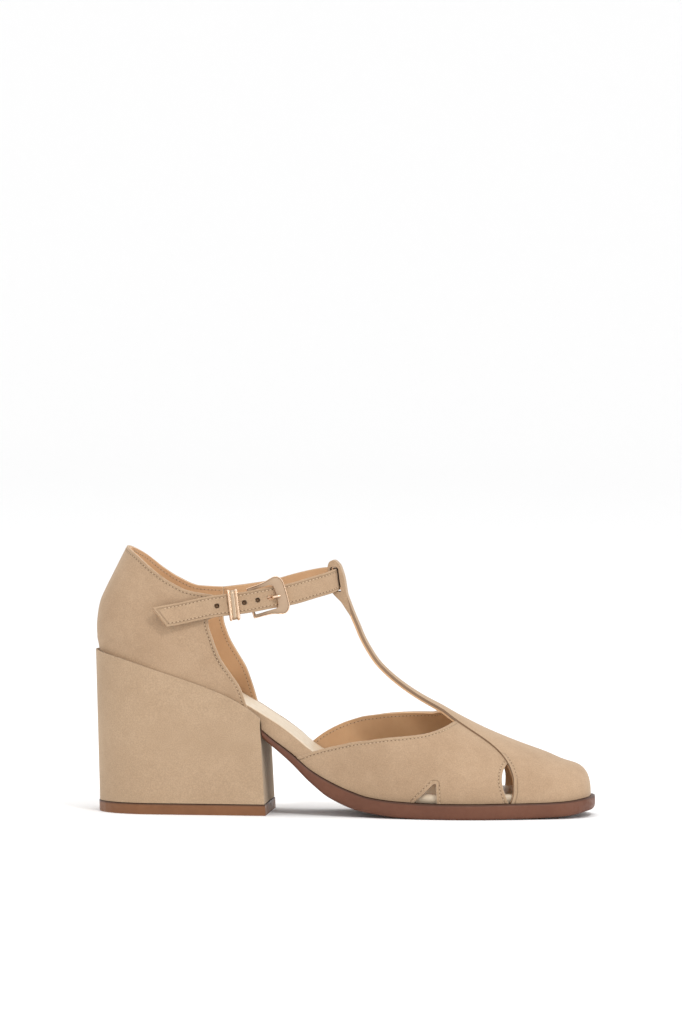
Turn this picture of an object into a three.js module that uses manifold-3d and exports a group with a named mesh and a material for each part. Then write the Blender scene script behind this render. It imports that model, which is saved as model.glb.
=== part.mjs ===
// A women's T-strap shoe on a high block heel, for the right foot.
// X runs from the heel to the toe, Y towards the inner side of the foot, and Z up from the floor.
import * as THREE from "three";
import { mergeVertices } from "three/addons/utils/BufferGeometryUtils.js";
import Module from "manifold-3d";

const wasm = await Module();
wasm.setup();

// The last, in millimetres. The feather edge is the line where upper and sole meet.
const LENGTH = 250; // back of the heel to the tip of the sole
const BALL_WIDTH = 77; // across the upper at the ball
const TREAD = 7.6; // feather edge over the floor at the ball, which is the sole's thickness there
const PITCH = 67.9; // how much higher the feather edge is at the back
const VAMP_HEIGHT = 42.4; // ridge over the feather edge at the ball
const TOE_SPRING = 2.4; // lift of the feather edge at the toe
const BACK_RISE = 57.2; // top of the quarter over the feather edge at the back
const BACK_LEAN = 15.3; // how far the back curve leans in at its top
const BACK_RADIUS = 36; // rounding of the heel end at the feather edge
const COLLAR_RADIUS = 30; // the same at the collar
const BACK_POWER = 2.2; // how square the heel end is, where 2 is a circle
const SHOULDER = 2.2; // how square the cross-sections are
const BULGE = 0.03; // share by which the sides swell half-way up
const TOE_EDGE = 2.2; // how far the sole reaches past the toe
const TOE_TAPER = 20.8; // length over which the plan closes at the toe
const TOE_TAPER_POWER = 3.2;
const TOE_FALL = 12.8; // length over which the ridge falls at the toe
const TOE_FALL_POWER = 2.7;

// Leathers
const GAP = 0.3; // between curved pieces that meet
const QUARTER_WALL = 2.4;
const TOE_WALL = 2.7;
const PANEL_STEP = 0.9; // the side panels lie this far under the toe piece's face
const PANEL_WALL = 1.6;
const RAND_STEP = 1.2; // the waist strip lies this far under the quarter's face
const RAND_WALL = 1.4;
const RAND_HEIGHT = 9.2;
const SLIT_BOW = 4.4; // how far the slit's rear edge bows back
const T_BAR_WIDTH = 11;
const T_BAR_WALL = 2.2;
const T_BAR_CROWN = 0.95; // drop of its edges where it joins the toe piece
const STRAP_WIDTH = 10.8;
const STRAP_THICK = 2;
const STRAP_CORNER = 0.4;
const STRAP_LEAN_FRONT = 0.14; // how far the strap's top leans in, for each unit up
const STRAP_LEAN_SIDE = 0.09;
const HOLE_RADIUS = 1.2;
const HOLE_SPACING = 6.8;
const TIP_SLANT = 5.5; // the free tip is cut at a slant, its top this much longer

// Heel and sole
const HEEL_WIDTH = 59.5;
const HEEL_TAPER = 0.97; // width at the floor as a share of it
const HEEL_WAIST = 0.88; // inner half-width at the breast as a share of that at the back
const HEEL_WAIST_POWER = 8; // how late along the heel that waist sets in
const HEEL_BACK_SLOPE = 2.5; // how far the back comes forward at the floor
const BREAST = -40.1; // front face of the heel at its top
const BREAST_SLOPE = 2.9; // how far that face goes forward at the floor
const HEEL_RIM = 5.3; // the heel's cup stands this much over the feather edge
const TOP_PIECE = 5.3; // thickness of the piece that the heel stands on
const TOP_PIECE_MARGIN = -0.3;
const WAIST_EDGE = 0.5; // sole past the upper at the waist
const BALL_EDGE = 1.8; // and at the ball
const SOLE_ROUND = 1.4; // rounding of the sole's bottom edge
const INSOLE_ROUND = 1.4; // rounding of the insole's top edge
const INSOLE_SLACK = 0.2; // what the insole leaves free beside the gap

// Buckle and keeper
const FRAME_THICK = 1.3;
const FRAME_RIM = 0.8; // width of the raised rims
const FRAME_RIM_HEIGHT = 0.4;
const BAR_HALF = 0.7; // half the width of the bar
const FRAME_TILT = 0.09; // the frame is turned this many radians on the strap
const WRAP = 0.8; // leather wrapped round the buckle's bar
const TAB_STEP = 1.3; // the buckle's tab lies this far under the strap
const TAB_WALL = 1.7;
const TAB_BACK = -35.2; // where the tab leaves the quarter, from the middle of the buckle
const PRONG_RADIUS = 0.6;
const PRONG_RISE = 2.6; // it comes up through the strap from this far before the hole's middle
const PRONG_REACH = 4.2; // from the middle of the hole to the prong's tip
const PRONG_HOLE = 1.4; // that hole's middle, ahead of the middle of the buckle
const PRONG_HOLE_LENGTH = 2.2; // the prong lengthens its hole by this much
const HOLES_BEHIND = 4; // holes between the prong's and the free tip
const KEEPER_WIDTH = 5.2;
const KEEPER_WALL = 1.1;
const KEEPER_RIDGE = 0.5; // height of the ridge along either edge
const KEEPER_RIM = 1.3; // width of that ridge
const KEEPER_CORNER = 0.8;
const BUCKLE_FROM_TIP = 57.7; // middle of the buckle to the free tip, along the strap
const KEEPER_FROM_BUCKLE = 17.6;

const HALF = LENGTH / 2;
const RIGHT_ANGLE = Math.PI / 2;
const LATERAL = -1; // the outer side of the foot
const MEDIAL = 1;
const JOIN = GAP / 2;
const CLEAR = 10; // how far a cutting solid reaches past what it cuts
const { lerp, clamp } = THREE.MathUtils;

// Tables hold shares: `at` is a share of LENGTH from the back.
function table(names, rows) {
  return Object.fromEntries(names.map((name, i) => [name, rows.map((row) => row[i])]));
}

const SECTIONS = table(
  // seat: share of PITCH, rise: of VAMP_HEIGHT, half-widths and ridge: of BALL_WIDTH
  ["at", "seat", "rise", "lateral", "medial", "ridge"],
  [
    [0, 1, 2.78, 0.366, 0.366, 0],
    [0.06, 0.9455, 2.78, 0.366, 0.366, 0],
    [0.14, 0.854, 2.8, 0.366, 0.366, 0],
    [0.22, 0.757, 2.84, 0.366, 0.356, 0],
    [0.28, 0.667, 2.88, 0.358, 0.327, 0],
    [0.32, 0.579, 2.9, 0.348, 0.304, 0],
    [0.36, 0.4565, 2.86, 0.342, 0.286, 0],
    [0.4, 0.3476, 2.72, 0.342, 0.275, 0],
    [0.44, 0.2253, 2.48, 0.353, 0.278, 0],
    [0.48, 0.1414, 2.22, 0.375, 0.296, 0],
    [0.52, 0.078, 2.04, 0.403, 0.325, 0],
    [0.56, 0.034, 1.64, 0.435, 0.364, 0.004],
    [0.62, 0.0103, 1.325, 0.478, 0.426, 0.01],
    [0.7, 0, 1.08, 0.504, 0.483, 0.02],
    [0.724, 0, 1, 0.505, 0.4935, 0.023],
    [0.78, 0, 0.835, 0.483, 0.496, 0.031],
    [0.84, 0, 0.684, 0.4286, 0.4675, 0.039],
    [0.9, 0, 0.554, 0.357, 0.418, 0.047],
    [0.948, 0, 0.434, 0.292, 0.371, 0.051],
    [0.992, 0, 0.385, 0.221, 0.325, 0.0545],
  ],
);

const SPRING = table(
  ["at", "lift"],
  [
    [0.78, 0],
    [0.84, 0.12],
    [0.9, 0.2],
    [0.948, 0.42],
    [0.992, 1],
  ],
);

// thick: the sole's thickness as a share of TREAD
const SOLE = table(
  ["at", "thick"],
  [
    [0.32, 0.46],
    [0.36, 0.46],
    [0.4, 0.61],
    [0.44, 0.81],
    [0.48, 1.06],
    [0.52, 1.08],
    [0.56, 0.98],
    [0.62, 1],
    [0.78, 1],
    [0.84, 0.99],
    [0.9, 0.96],
    [0.948, 0.95],
    [0.992, 0.86],
  ],
);

// The sole's edge from its top to its bottom: out is a share of SOLE_ROUND, depth of its thickness
const SOLE_EDGE = table(
  ["out", "depth"],
  [
    [-0.12, 0],
    [0, 0.15],
    [0.07, 0.5],
    [-0.12, 0.85],
    [-0.75, 1],
  ],
);

// thick: the insole's thickness as a share of RAND_HEIGHT
const INSOLE = table(
  ["at", "thick"],
  [
    [0, 0.6],
    [0.3, 0.62],
    [0.38, 0.95],
    [0.48, 0.95],
    [0.56, 0.6],
    [0.66, 0.4],
    [1, 0.38],
  ],
);

// height: share of BACK_RISE over the feather edge at the back, inset: share of BACK_LEAN
const BACK = table(
  ["height", "inset"],
  [
    [0, 0.111],
    [0.094, 0.098],
    [0.147, 0.065],
    [0.2, 0.013],
    [0.304, 0.013],
    [0.409, 0.046],
    [0.516, 0.124],
    [0.62, 0.288],
    [0.727, 0.484],
    [0.832, 0.68],
    [0.937, 0.876],
    [1, 1],
  ],
);

// Height of the collar on either side, as a share of BACK_RISE
const COLLAR = table(
  ["at", "lateral", "medial"],
  [
    [0.0612, 1, 1],
    [0.088, 0.927, 0.918],
    [0.124, 0.804, 0.79],
    [0.153, 0.717, 0.71],
    [0.197, 0.626, 0.636],
    [0.24, 0.594, 0.629],
    [0.27, 0.57, 0.634],
  ],
);

// Front edge of the quarter on either side, by height as a share of BACK_RISE
const QUARTER_FRONT = table(
  ["height", "lateral", "medial"],
  [
    [-0.542, 0.328, 0.326],
    [-0.353, 0.3116, 0.3144],
    [-0.215, 0.3004, 0.3044],
    [-0.072, 0.278, 0.2916],
    [0.044, 0.26, 0.2752],
    [0.2, 0.2456, 0.2552],
    [0.364, 0.2348, 0.2444],
    [0.463, 0.2352, 0.244],
    [0.6, 0.246, 0.2448],
  ],
);

// The T-bar from its head to its foot: run and rise are shares of the way between them,
// and the half-widths are shares of T_BAR_WIDTH.
const T_BAR = table(
  ["run", "rise", "lateral", "medial"],
  [
    [1, 1, 0.5, 0.5],
    [0.972, 0.93, 0.5, 0.5],
    [0.903, 0.78, 0.5, 0.5],
    [0.851, 0.681, 0.5, 0.5],
    [0.801, 0.582, 0.5, 0.5],
    [0.736, 0.483, 0.5, 0.5],
    [0.656, 0.384, 0.51, 0.51],
    [0.539, 0.285, 0.54, 0.54],
    [0.388, 0.186, 0.6, 0.6],
    [0.209, 0.092, 0.7, 0.69],
    [0.05, 0.023, 0.82, 0.75],
    [0, 0, 0.86, 0.77],
  ],
);

// The toe piece from the T-bar's foot to the toe: where each row crosses the ridge and meets
// the edge, as shares of the way, and how far it turns round the last, as a share of the
// quarter turn from the ridge to the feather edge.
const TOE_PIECE = table(
  ["ridge", "lateral", "lateral_turn", "medial", "medial_turn"],
  [
    [0, 0, 0.13, 0, 0.13],
    [0.082, 0.082, 0.182, 0.055, 0.19],
    [0.179, 0.179, 0.232, 0.137, 0.25],
    [0.275, 0.282, 0.291, 0.22, 0.33],
    [0.357, 0.364, 0.369, 0.302, 0.44],
    [0.426, 0.433, 0.481, 0.356, 0.57],
    [0.481, 0.478, 0.607, 0.39, 0.7],
    [0.529, 0.501, 0.745, 0.399, 0.8],
    [0.563, 0.503, 0.878, 0.396, 0.9],
    [0.604, 0.486, 1, 0.382, 1],
    [0.687, 0.659, 1, 0.575, 1],
    [0.77, 0.75, 1, 0.7, 1],
    [0.852, 0.824, 1, 0.824, 1],
    [0.92, 0.9, 1, 0.9, 1],
    [0.964, 0.951, 1, 0.951, 1],
    [0.988, 0.979, 1, 0.979, 1],
    [0.997, 0.995, 1, 0.995, 1],
    [1, 1, 1, 1, 1],
  ],
);

// Columns of the side panels from the waist to the slit. lift: how far a cut-out raises the
// bottom edge, and top_height: the top over the feather edge, as shares of VAMP_HEIGHT; bow:
// share of SLIT_BOW.
const PANEL_COLUMNS = ["bottom", "lift", "top", "top_height", "bow"];
const LATERAL_PANEL = table(PANEL_COLUMNS, [
  [0.412, 0, 0.415, 0.0273, 0],
  [0.438, 0, 0.441, 0.2113, 0],
  [0.463, 0, 0.463, 0.3292, 0],
  [0.5, 0, 0.5, 0.4909, 0],
  [0.541, 0, 0.541, 0.6312, 0],
  [0.597, 0, 0.597, 0.736, 0],
  [0.632, 0, 0.632, 0.7716, 0],
  [0.649, 0, 0.655, 0.7948, 0],
  [0.669, 0.12, 0.672, 0.8172, 0],
  [0.688, 0.235, 0.692, 0.8553, 0],
  [0.693, 0.235, 0.702, 0.8803, 0],
  [0.6945, 0, 0.711, 0.9041, 0],
  [0.715, 0, 0.728, 0.9482, 0],
  [0.74, 0, 0.755, 0.8772, 0],
  [0.765, 0, 0.785, 0.7852, 0],
  [0.79, 0, 0.81, 0.699, 0.15],
  [0.815, 0, 0.83, 0.6201, 0.6],
  [0.837, 0, 0.845, 0.5441, 1],
]);
const MEDIAL_PANEL = table(PANEL_COLUMNS, [
  [0.404, 0, 0.412, 0.0416, 0],
  [0.424, 0, 0.426, 0.1886, 0],
  [0.439, 0, 0.439, 0.3116, 0],
  [0.459, 0, 0.459, 0.4674, 0],
  [0.5, 0, 0.5, 0.701, 0],
  [0.54, 0, 0.54, 0.8521, 0],
  [0.58, 0, 0.58, 0.9358, 0],
  [0.609, 0, 0.606, 0.9681, 0],
  [0.629, 0.12, 0.628, 0.9863, 0],
  [0.648, 0.235, 0.648, 0.9983, 0],
  [0.653, 0.235, 0.66, 1.0043, 0],
  [0.6545, 0, 0.672, 1.0093, 0],
  [0.675, 0, 0.692, 1.0396, 0],
  [0.7, 0, 0.72, 0.9811, 0],
  [0.727, 0, 0.752, 0.8877, 0],
  [0.756, 0, 0.781, 0.7939, 0.15],
  [0.784, 0, 0.804, 0.6967, 0.6],
  [0.8075, 0, 0.8155, 0.6078, 1],
]);

// The ankle strap's middle: height is a share of BACK_RISE, aside a share of BALL_WIDTH,
// and off is how far its inner face stands off the quarter, in millimetres.
const STRAP_SEWN = table(
  ["at", "height", "off"],
  [
    [0.172, 0.4895, 0.5],
    [0.204, 0.508, 0.45],
    [0.236, 0.526, 0.5],
  ],
);
const STRAP_ROUND = table(
  ["at", "height", "aside"],
  [
    [0.296, 0.561, 0.336],
    [0.348, 0.601, 0.301],
    [0.4, 0.666, 0.251],
    [0.44, 0.708, 0.195],
    [0.467, 0.7255, 0.136],
    [0.48, 0.7255, 0.071],
    [0.4828, 0.7255, 0],
    [0.48, 0.715, -0.071],
    [0.467, 0.6906, -0.136],
    [0.44, 0.6556, -0.197],
    [0.4, 0.603, -0.257],
    [0.356, 0.568, -0.306],
    [0.308, 0.527, -0.345],
  ],
);
const STRAP_FREE = table(
  ["at", "height", "off"],
  [
    [0.272, 0.507, 0.9],
    [0.236, 0.484, 1],
    [0.18, 0.428, 1.3],
    [0.152, 0.4056, 2.6],
    [0.13, 0.386, 4.2],
  ],
);

// The T-bar's loop round the strap, from the strap's front point: x forward, z up
const LOOP_OUTSIDE = [
  [5, -7],
  [3.8, 0],
  [2.8, 3.5],
  [1.3, 7],
  [-1.3, 9.2],
  [-3.5, 8.6],
  [-4.5, 6],
  [-3.6, 0],
  [-2.9, -4.5],
  [-2, -7],
  [-0.1, -9.2],
  [2.3, -11.6],
  [5.5, -16.3],
  [7.2, -18.5],
];
const LOOP_INSIDE = [
  [2.35, -7],
  [1.4, 0],
  [1, 3.2],
  [0.6, 5.8],
  [-0.6, 7.2],
  [-2, 7],
  [-3.2, 5.6],
  [-2.4, 0],
  [-1.7, -4],
  [-1.3, -6.3],
  [-0.1, -7.2],
  [1.3, -7.6],
];
const T_BAR_HEAD = [4, -3.5]; // where the T-bar ends, in the loop's front wall

// Half of the buckle's frame, from the middle of its front to the middle of its bar.
// Lengths are shares of FRAME_LENGTH, breadths of the strap's half-width with its gap.
const FRAME_LENGTH = 18.8;
const BUCKLE = table(
  ["outer_along", "outer_across", "inner_along", "inner_across"],
  [
    [0.49, 0, 0.21, 0],
    [0.488, 0.5, 0.205, 0.43],
    [0.47, 1.05, 0.19, 0.77],
    [0.412, 1.4, 0.16, 0.94],
    [0.304, 1.6, 0.1, 1],
    [0.176, 1.54, 0.039, 1],
    [0, 1.385, -0.074, 1],
    [-0.211, 1.32, -0.211, 1],
    [-0.4, 1.3, -0.338, 1],
    [-0.475, 1.26, -0.405, 0.98],
    [-0.485, 1.05, -0.416, 0.93],
    [-0.485, 0.5, -0.416, 0.5],
    [-0.485, 0, -0.416, 0],
  ],
);

// The frame lies under the strap at its bar and over it at its front: along is a share of
// FRAME_LENGTH from the middle of the buckle, rise of the way out
const FRAME_BEND = table(
  ["along", "rise"],
  [
    [-0.51, 0],
    [-0.37, 0],
    [0.15, 1],
    [0.51, 1],
  ],
);

// A curve through two columns of a table that never swings past its rows
function smooth(along, values) {
  const gaps = along.slice(1).map((place, i) => place - along[i]);
  const slopes = gaps.map((gap, i) => (values[i + 1] - values[i]) / gap);
  const last = along.length - 1;
  const tangents = along.map((_, i) => {
    if (i === 0 || i === last) return slopes[Math.min(i, last - 1)];
    const [before, after] = [slopes[i - 1], slopes[i]];
    if (before * after <= 0) return 0;
    const nearer = 2 * gaps[i] + gaps[i - 1];
    const further = gaps[i] + 2 * gaps[i - 1];
    return (nearer + further) / (nearer / before + further / after);
  });
  return (place) => {
    const here = clamp(place, along[0], along[last]);
    const i = Math.max(along.findIndex((end, k) => k > 0 && here <= end) - 1, 0);
    const t = (here - along[i]) / gaps[i];
    const ends = (1 + 2 * t) * (1 - t) ** 2 * values[i] + t * t * (3 - 2 * t) * values[i + 1];
    const bends = t * (1 - t) ** 2 * tangents[i] - t * t * (1 - t) * tangents[i + 1];
    return ends + gaps[i] * bends;
  };
}

// Straight stretches between the values of a column, by row number
function straight(values) {
  return (row) => {
    const i = clamp(Math.floor(row), 0, values.length - 2);
    return lerp(values[i], values[i + 1], row - i);
  };
}

// A curve through a column, by row number
function byRow(values) {
  return smooth([...values.keys()], values);
}

// Numbers from `from` to `to` in equal steps
function steps(from, to, count) {
  return Array.from({ length: count + 1 }, (_, i) => lerp(from, to, i / count));
}

// A quarter of a rounded square: 1 at 0, falling to 0 at 1
function roundOff(share, power) {
  return (1 - clamp(share, 0, 1) ** power) ** (1 / power);
}

// The last
const place = (at) => (at - 0.5) * LENGTH;
const along = (column) => {
  const curve = smooth(SECTIONS.at, SECTIONS[column]);
  return (x) => curve(x / LENGTH + 0.5);
};
const [seatShare, riseShare, ridgeShare] = ["seat", "rise", "ridge"].map(along);
const widthShare = { [LATERAL]: along("lateral"), [MEDIAL]: along("medial") };
const springShare = smooth(SPRING.at, SPRING.lift);
const backInset = smooth(BACK.height, BACK.inset);
const BACK_SEAT = TREAD + PITCH;
const TOE_END = HALF - TOE_EDGE;

const seat = (x) => TREAD + PITCH * seatShare(x) + TOE_SPRING * springShare(x / LENGTH + 0.5);
const feather = (x) => seat(x) + JOIN;
const ridgeRise = (x) =>
  VAMP_HEIGHT * riseShare(x) * roundOff((x - TOE_END + TOE_FALL) / TOE_FALL, TOE_FALL_POWER);
const ridgeLine = (x) => BALL_WIDTH * ridgeShare(x);
const backHeight = (share) => BACK_SEAT + BACK_RISE * share;
const backCurve = (z) => BACK_LEAN * backInset((z - BACK_SEAT) / BACK_RISE) - HALF;

// Width left by the rounding of the heel end and of the toe's plan, as a share
function endRounding(x, z) {
  const radius = lerp(BACK_RADIUS, COLLAR_RADIUS, clamp((z - BACK_SEAT) / BACK_RISE, 0, 1));
  const back = roundOff(1 - (x - backCurve(z)) / radius, BACK_POWER);
  return back * roundOff((x - TOE_END + TOE_TAPER) / TOE_TAPER, TOE_TAPER_POWER);
}

// A point on the last: turn is 0 on the ridge and 1 on the feather edge
function onLast(x, turn, side) {
  const angle = turn * RIGHT_ANGLE;
  const height = Math.cos(angle);
  const z = feather(x) + ridgeRise(x) * height;
  const swell = 1 + BULGE * Math.sin(Math.PI * height);
  const spread = Math.max(Math.sin(angle), 0) ** (2 / SHOULDER) * swell * endRounding(x, z);
  const reach = side * BALL_WIDTH * widthShare[side](x) - ridgeLine(x);
  return new THREE.Vector3(x, ridgeLine(x) + reach * spread, z);
}

// The turn at which the last is at a height
function turnAt(x, z) {
  return Math.acos(clamp((z - feather(x)) / ridgeRise(x), 0, 1)) / RIGHT_ANGLE;
}

const besideFoot = (x, z, side) => onLast(x, turnAt(x, z), side);

// Solids from points and triangles
const MERGE = 1e-4;
function toSolid(geometry) {
  geometry.deleteAttribute("normal");
  geometry.deleteAttribute("uv");
  const merged = mergeVertices(geometry, MERGE);
  const corners = [...merged.index.array];
  const kept = corners.filter((_, k) => {
    const [a, b, c] = corners.slice(k - (k % 3), k - (k % 3) + 3);
    return a !== b && b !== c && c !== a;
  });
  const make = (triangles) => {
    const vertProperties = merged.attributes.position.array;
    const triVerts = Uint32Array.from(triangles);
    return new wasm.Manifold(new wasm.Mesh({ numProp: 3, vertProperties, triVerts }));
  };
  const made = make(kept);
  return made.volume() < 0 ? make(kept.reverse()) : made;
}

function solid(points, faces) {
  const geometry = new THREE.BufferGeometry();
  const numbers = points.flatMap((point) => point.toArray());
  geometry.setAttribute("position", new THREE.Float32BufferAttribute(numbers, 3));
  geometry.setIndex(faces.flat());
  return toSolid(geometry);
}

// A geometry moved point by point by a function of its x, y and z
function mapped(geometry, move) {
  const position = geometry.attributes.position;
  for (let i = 0; i < position.count; i += 1) {
    const { x, y, z } = move(position.getX(i), position.getY(i), position.getZ(i));
    position.setXYZ(i, x, y, z);
  }
  return toSolid(geometry);
}

// A point under a surface, along its normal. A pole faces the toe.
const NUDGE = 1e-3;
function under(surface, s, t, ranges, depth) {
  const [[firstS, lastS], [firstT, lastT]] = ranges;
  const byS = surface(Math.min(s + NUDGE, lastS), t).sub(surface(Math.max(s - NUDGE, firstS), t));
  const byT = surface(s, Math.min(t + NUDGE, lastT)).sub(surface(s, Math.max(t - NUDGE, firstT)));
  const normal = byS.cross(byT);
  if (normal.length() < NUDGE ** 3) normal.set(Math.sign(depth || 1), 0, 0);
  return surface(s, t).addScaledVector(normal.normalize(), -depth);
}

// A leather wall: a surface over stations s and t, thickened between two depths.
// facing is 1 where the surface's own normal points out of the shoe, and -1 where it points in.
// No wall reaches below the feather edge.
function shell(stationsS, stationsT, surface, facing, outsideAt, insideAt) {
  const ranges = [stationsS, stationsT].map((stations) => [stations[0], stations.at(-1)]);
  const points = [];
  const layer = (depthAt) => {
    const first = points.length;
    for (const s of stationsS) {
      for (const t of stationsT) {
        const pole = surface(s, stationsT[0]).distanceTo(surface(s, stationsT.at(-1))) < MERGE;
        const point = under(surface, s, t, ranges, (pole ? 1 : facing) * depthAt(s));
        points.push(point.setZ(Math.max(point.z, feather(point.x))));
      }
    }
    return (i, j) => first + i * stationsT.length + j;
  };
  const outer = layer(outsideAt);
  const inner = layer(insideAt);
  const rows = stationsS.length - 1;
  const columns = stationsT.length - 1;
  const faces = [];
  const quad = (a, b, c, d) => faces.push([a, b, c], [a, c, d]);
  for (let i = 0; i < rows; i += 1) {
    for (let j = 0; j < columns; j += 1) {
      quad(outer(i, j), outer(i + 1, j), outer(i + 1, j + 1), outer(i, j + 1));
      quad(inner(i, j + 1), inner(i + 1, j + 1), inner(i + 1, j), inner(i, j));
    }
    quad(outer(i + 1, 0), outer(i, 0), inner(i, 0), inner(i + 1, 0));
    quad(outer(i, columns), outer(i + 1, columns), inner(i + 1, columns), inner(i, columns));
  }
  for (let j = 0; j < columns; j += 1) {
    quad(outer(0, j), outer(0, j + 1), inner(0, j + 1), inner(0, j));
    quad(outer(rows, j + 1), outer(rows, j), inner(rows, j), inner(rows, j + 1));
  }
  return solid(points, faces);
}

// A solid through rings of as many points each, closed on itself or with flat ends
function loft(rings, closed = false) {
  const size = rings[0].length;
  const at = (i, j) => (i % rings.length) * size + (j % size);
  const faces = [];
  const joins = closed ? rings.length : rings.length - 1;
  for (let i = 0; i < joins; i += 1) {
    for (let j = 0; j < size; j += 1) {
      faces.push([at(i, j), at(i + 1, j), at(i + 1, j + 1)]);
      faces.push([at(i, j), at(i + 1, j + 1), at(i, j + 1)]);
    }
  }
  if (!closed) {
    for (let j = 0; j < size / 2 - 1; j += 1) {
      const rung = [j, j + 1, size - 2 - j, size - 1 - j];
      const near = rung.map((k) => at(0, k));
      const far = rung.map((k) => at(rings.length - 1, k));
      faces.push([near[0], near[1], near[2]], [near[0], near[2], near[3]]);
      faces.push([far[0], far[2], far[1]], [far[0], far[3], far[2]]);
    }
  }
  return solid(rings.flat(), faces);
}

// An outline pulled out to a depth, then placed by a function
function extruded(outline, holes, depth, move) {
  const shape = new THREE.Shape(outline.map(([u, v]) => new THREE.Vector2(u, v)));
  shape.holes = holes.map((hole) => new THREE.Path(hole.map(([u, v]) => new THREE.Vector2(u, v))));
  const settings = { depth, steps: 1, bevelEnabled: false };
  return mapped(new THREE.ExtrudeGeometry(shape, settings), move);
}

function circle(u, v, radius, count) {
  return steps(0, 2 * Math.PI, count)
    .slice(1)
    .map((angle) => [u + radius * Math.cos(angle), v + radius * Math.sin(angle)]);
}

// The ankle strap's middle surface
const strapPoint = (x, y, height) => new THREE.Vector3(x, y, backHeight(height));
function offQuarter(rows, side) {
  return rows.at.map((at, i) => {
    const x = place(at);
    const wall = besideFoot(x, backHeight(rows.height[i]), side);
    const y = wall.y + side * (rows.off[i] + STRAP_THICK / 2);
    return strapPoint(x, y, rows.height[i]);
  });
}
const STRAP_ROUTE = new THREE.CatmullRomCurve3([
  ...offQuarter(STRAP_SEWN, MEDIAL),
  ...STRAP_ROUND.at.map((at, i) =>
    strapPoint(place(at), STRAP_ROUND.aside[i] * BALL_WIDTH, STRAP_ROUND.height[i]),
  ),
  ...offQuarter(STRAP_FREE, LATERAL),
]);
STRAP_ROUTE.arcLengthDivisions = 600;
const STRAP_LENGTH = STRAP_ROUTE.getLength();
const STRAP_FRONT = STRAP_ROUND.at.indexOf(Math.max(...STRAP_ROUND.at));
const FRONT_POINT = [
  place(STRAP_ROUND.at[STRAP_FRONT]),
  backHeight(STRAP_ROUND.height[STRAP_FRONT]),
];

// A point on or beside the strap: run is measured from its sewn end, across is up its width,
// and out is away from the foot.
function onStrap(run, across, out) {
  const share = clamp(run / STRAP_LENGTH, 0, 1);
  const tangent = STRAP_ROUTE.getTangentAt(share);
  const outward = new THREE.Vector3(0, 0, 1).cross(tangent).normalize();
  const lean = lerp(STRAP_LEAN_SIDE, STRAP_LEAN_FRONT, Math.abs(outward.x));
  const up = new THREE.Vector3(0, 0, 1).addScaledVector(outward, -lean);
  up.addScaledVector(tangent, -up.dot(tangent)).normalize();
  const away = up.clone().cross(tangent);
  return STRAP_ROUTE.getPointAt(share)
    .addScaledVector(tangent, run - share * STRAP_LENGTH)
    .addScaledVector(up, across)
    .addScaledVector(away, out);
}

// The same from the middle of the buckle, with ahead running towards the toe
const BUCKLE_RUN = STRAP_LENGTH - BUCKLE_FROM_TIP;
const atBuckle = (ahead, across, out) => onStrap(BUCKLE_RUN - ahead, across, out);

// Toe piece and T-bar: one skin from the loop to the toe
const T_FOOT = place(0.7);
const T_FOOT_Z = feather(T_FOOT) + ridgeRise(T_FOOT);
const T_HEAD = [FRONT_POINT[0] + T_BAR_HEAD[0], FRONT_POINT[1] + T_BAR_HEAD[1]];
const T_ROWS = T_BAR.run.length - 1;
const VERTICAL_ROWS = 3; // rows over which the crown's drop turns upright
const tBarColumn = Object.fromEntries(Object.entries(T_BAR).map(([k, v]) => [k, byRow(v)]));
const toeColumn = Object.fromEntries(Object.entries(TOE_PIECE).map(([k, v]) => [k, byRow(v)]));

function tBarLine(row) {
  const x = lerp(T_FOOT, T_HEAD[0], tBarColumn.run(row));
  return new THREE.Vector3(x, ridgeLine(x), lerp(T_FOOT_Z, T_HEAD[1], tBarColumn.rise(row)));
}

function tBarPoint(row, aside) {
  const middle = tBarLine(row);
  const ahead = tBarLine(Math.min(row + NUDGE, T_ROWS)).sub(tBarLine(row - NUDGE));
  const inward = new THREE.Vector3(ahead.z, 0, -ahead.x).normalize();
  inward.lerp(new THREE.Vector3(0, 0, -1), clamp(1 - (T_ROWS - row) / VERTICAL_ROWS, 0, 1));
  const half = T_BAR_WIDTH * tBarColumn[aside < 0 ? "lateral" : "medial"](row);
  const drop = T_BAR_CROWN * ((aside * half) / (T_BAR_WIDTH * T_BAR.lateral.at(-1))) ** 2;
  middle.y += aside * half;
  return middle.addScaledVector(inward.normalize(), drop);
}

function toePoint(row, aside) {
  const name = aside < 0 ? "lateral" : "medial";
  const share = lerp(toeColumn.ridge(row), toeColumn[name](row), aside * aside);
  const turn = Math.abs(aside) * toeColumn[name + "_turn"](row);
  return onLast(lerp(T_FOOT, TOE_END, share), turn, aside < 0 ? LATERAL : MEDIAL);
}

function makeForepart() {
  const toeRows = TOE_PIECE.ridge.length - 1;
  const finer = steps(T_ROWS, T_ROWS + toeRows, toeRows * 2);
  const rows = [...steps(0, T_ROWS, T_ROWS), ...finer.slice(1)];
  const surface = (row, aside) =>
    row <= T_ROWS ? tBarPoint(row, aside) : toePoint(row - T_ROWS, aside);
  const thickness = (row) => lerp(T_BAR_WALL, TOE_WALL, clamp(row - T_ROWS, 0, 1));
  return shell(rows, steps(-1, 1, 14), surface, 1, () => 0, thickness);
}

function makeLoop() {
  const put = (u, v, w) =>
    new THREE.Vector3(FRONT_POINT[0] + u, w - T_BAR_WIDTH / 2, FRONT_POINT[1] + v);
  return extruded(LOOP_OUTSIDE, [LOOP_INSIDE], T_BAR_WIDTH, put);
}

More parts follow.
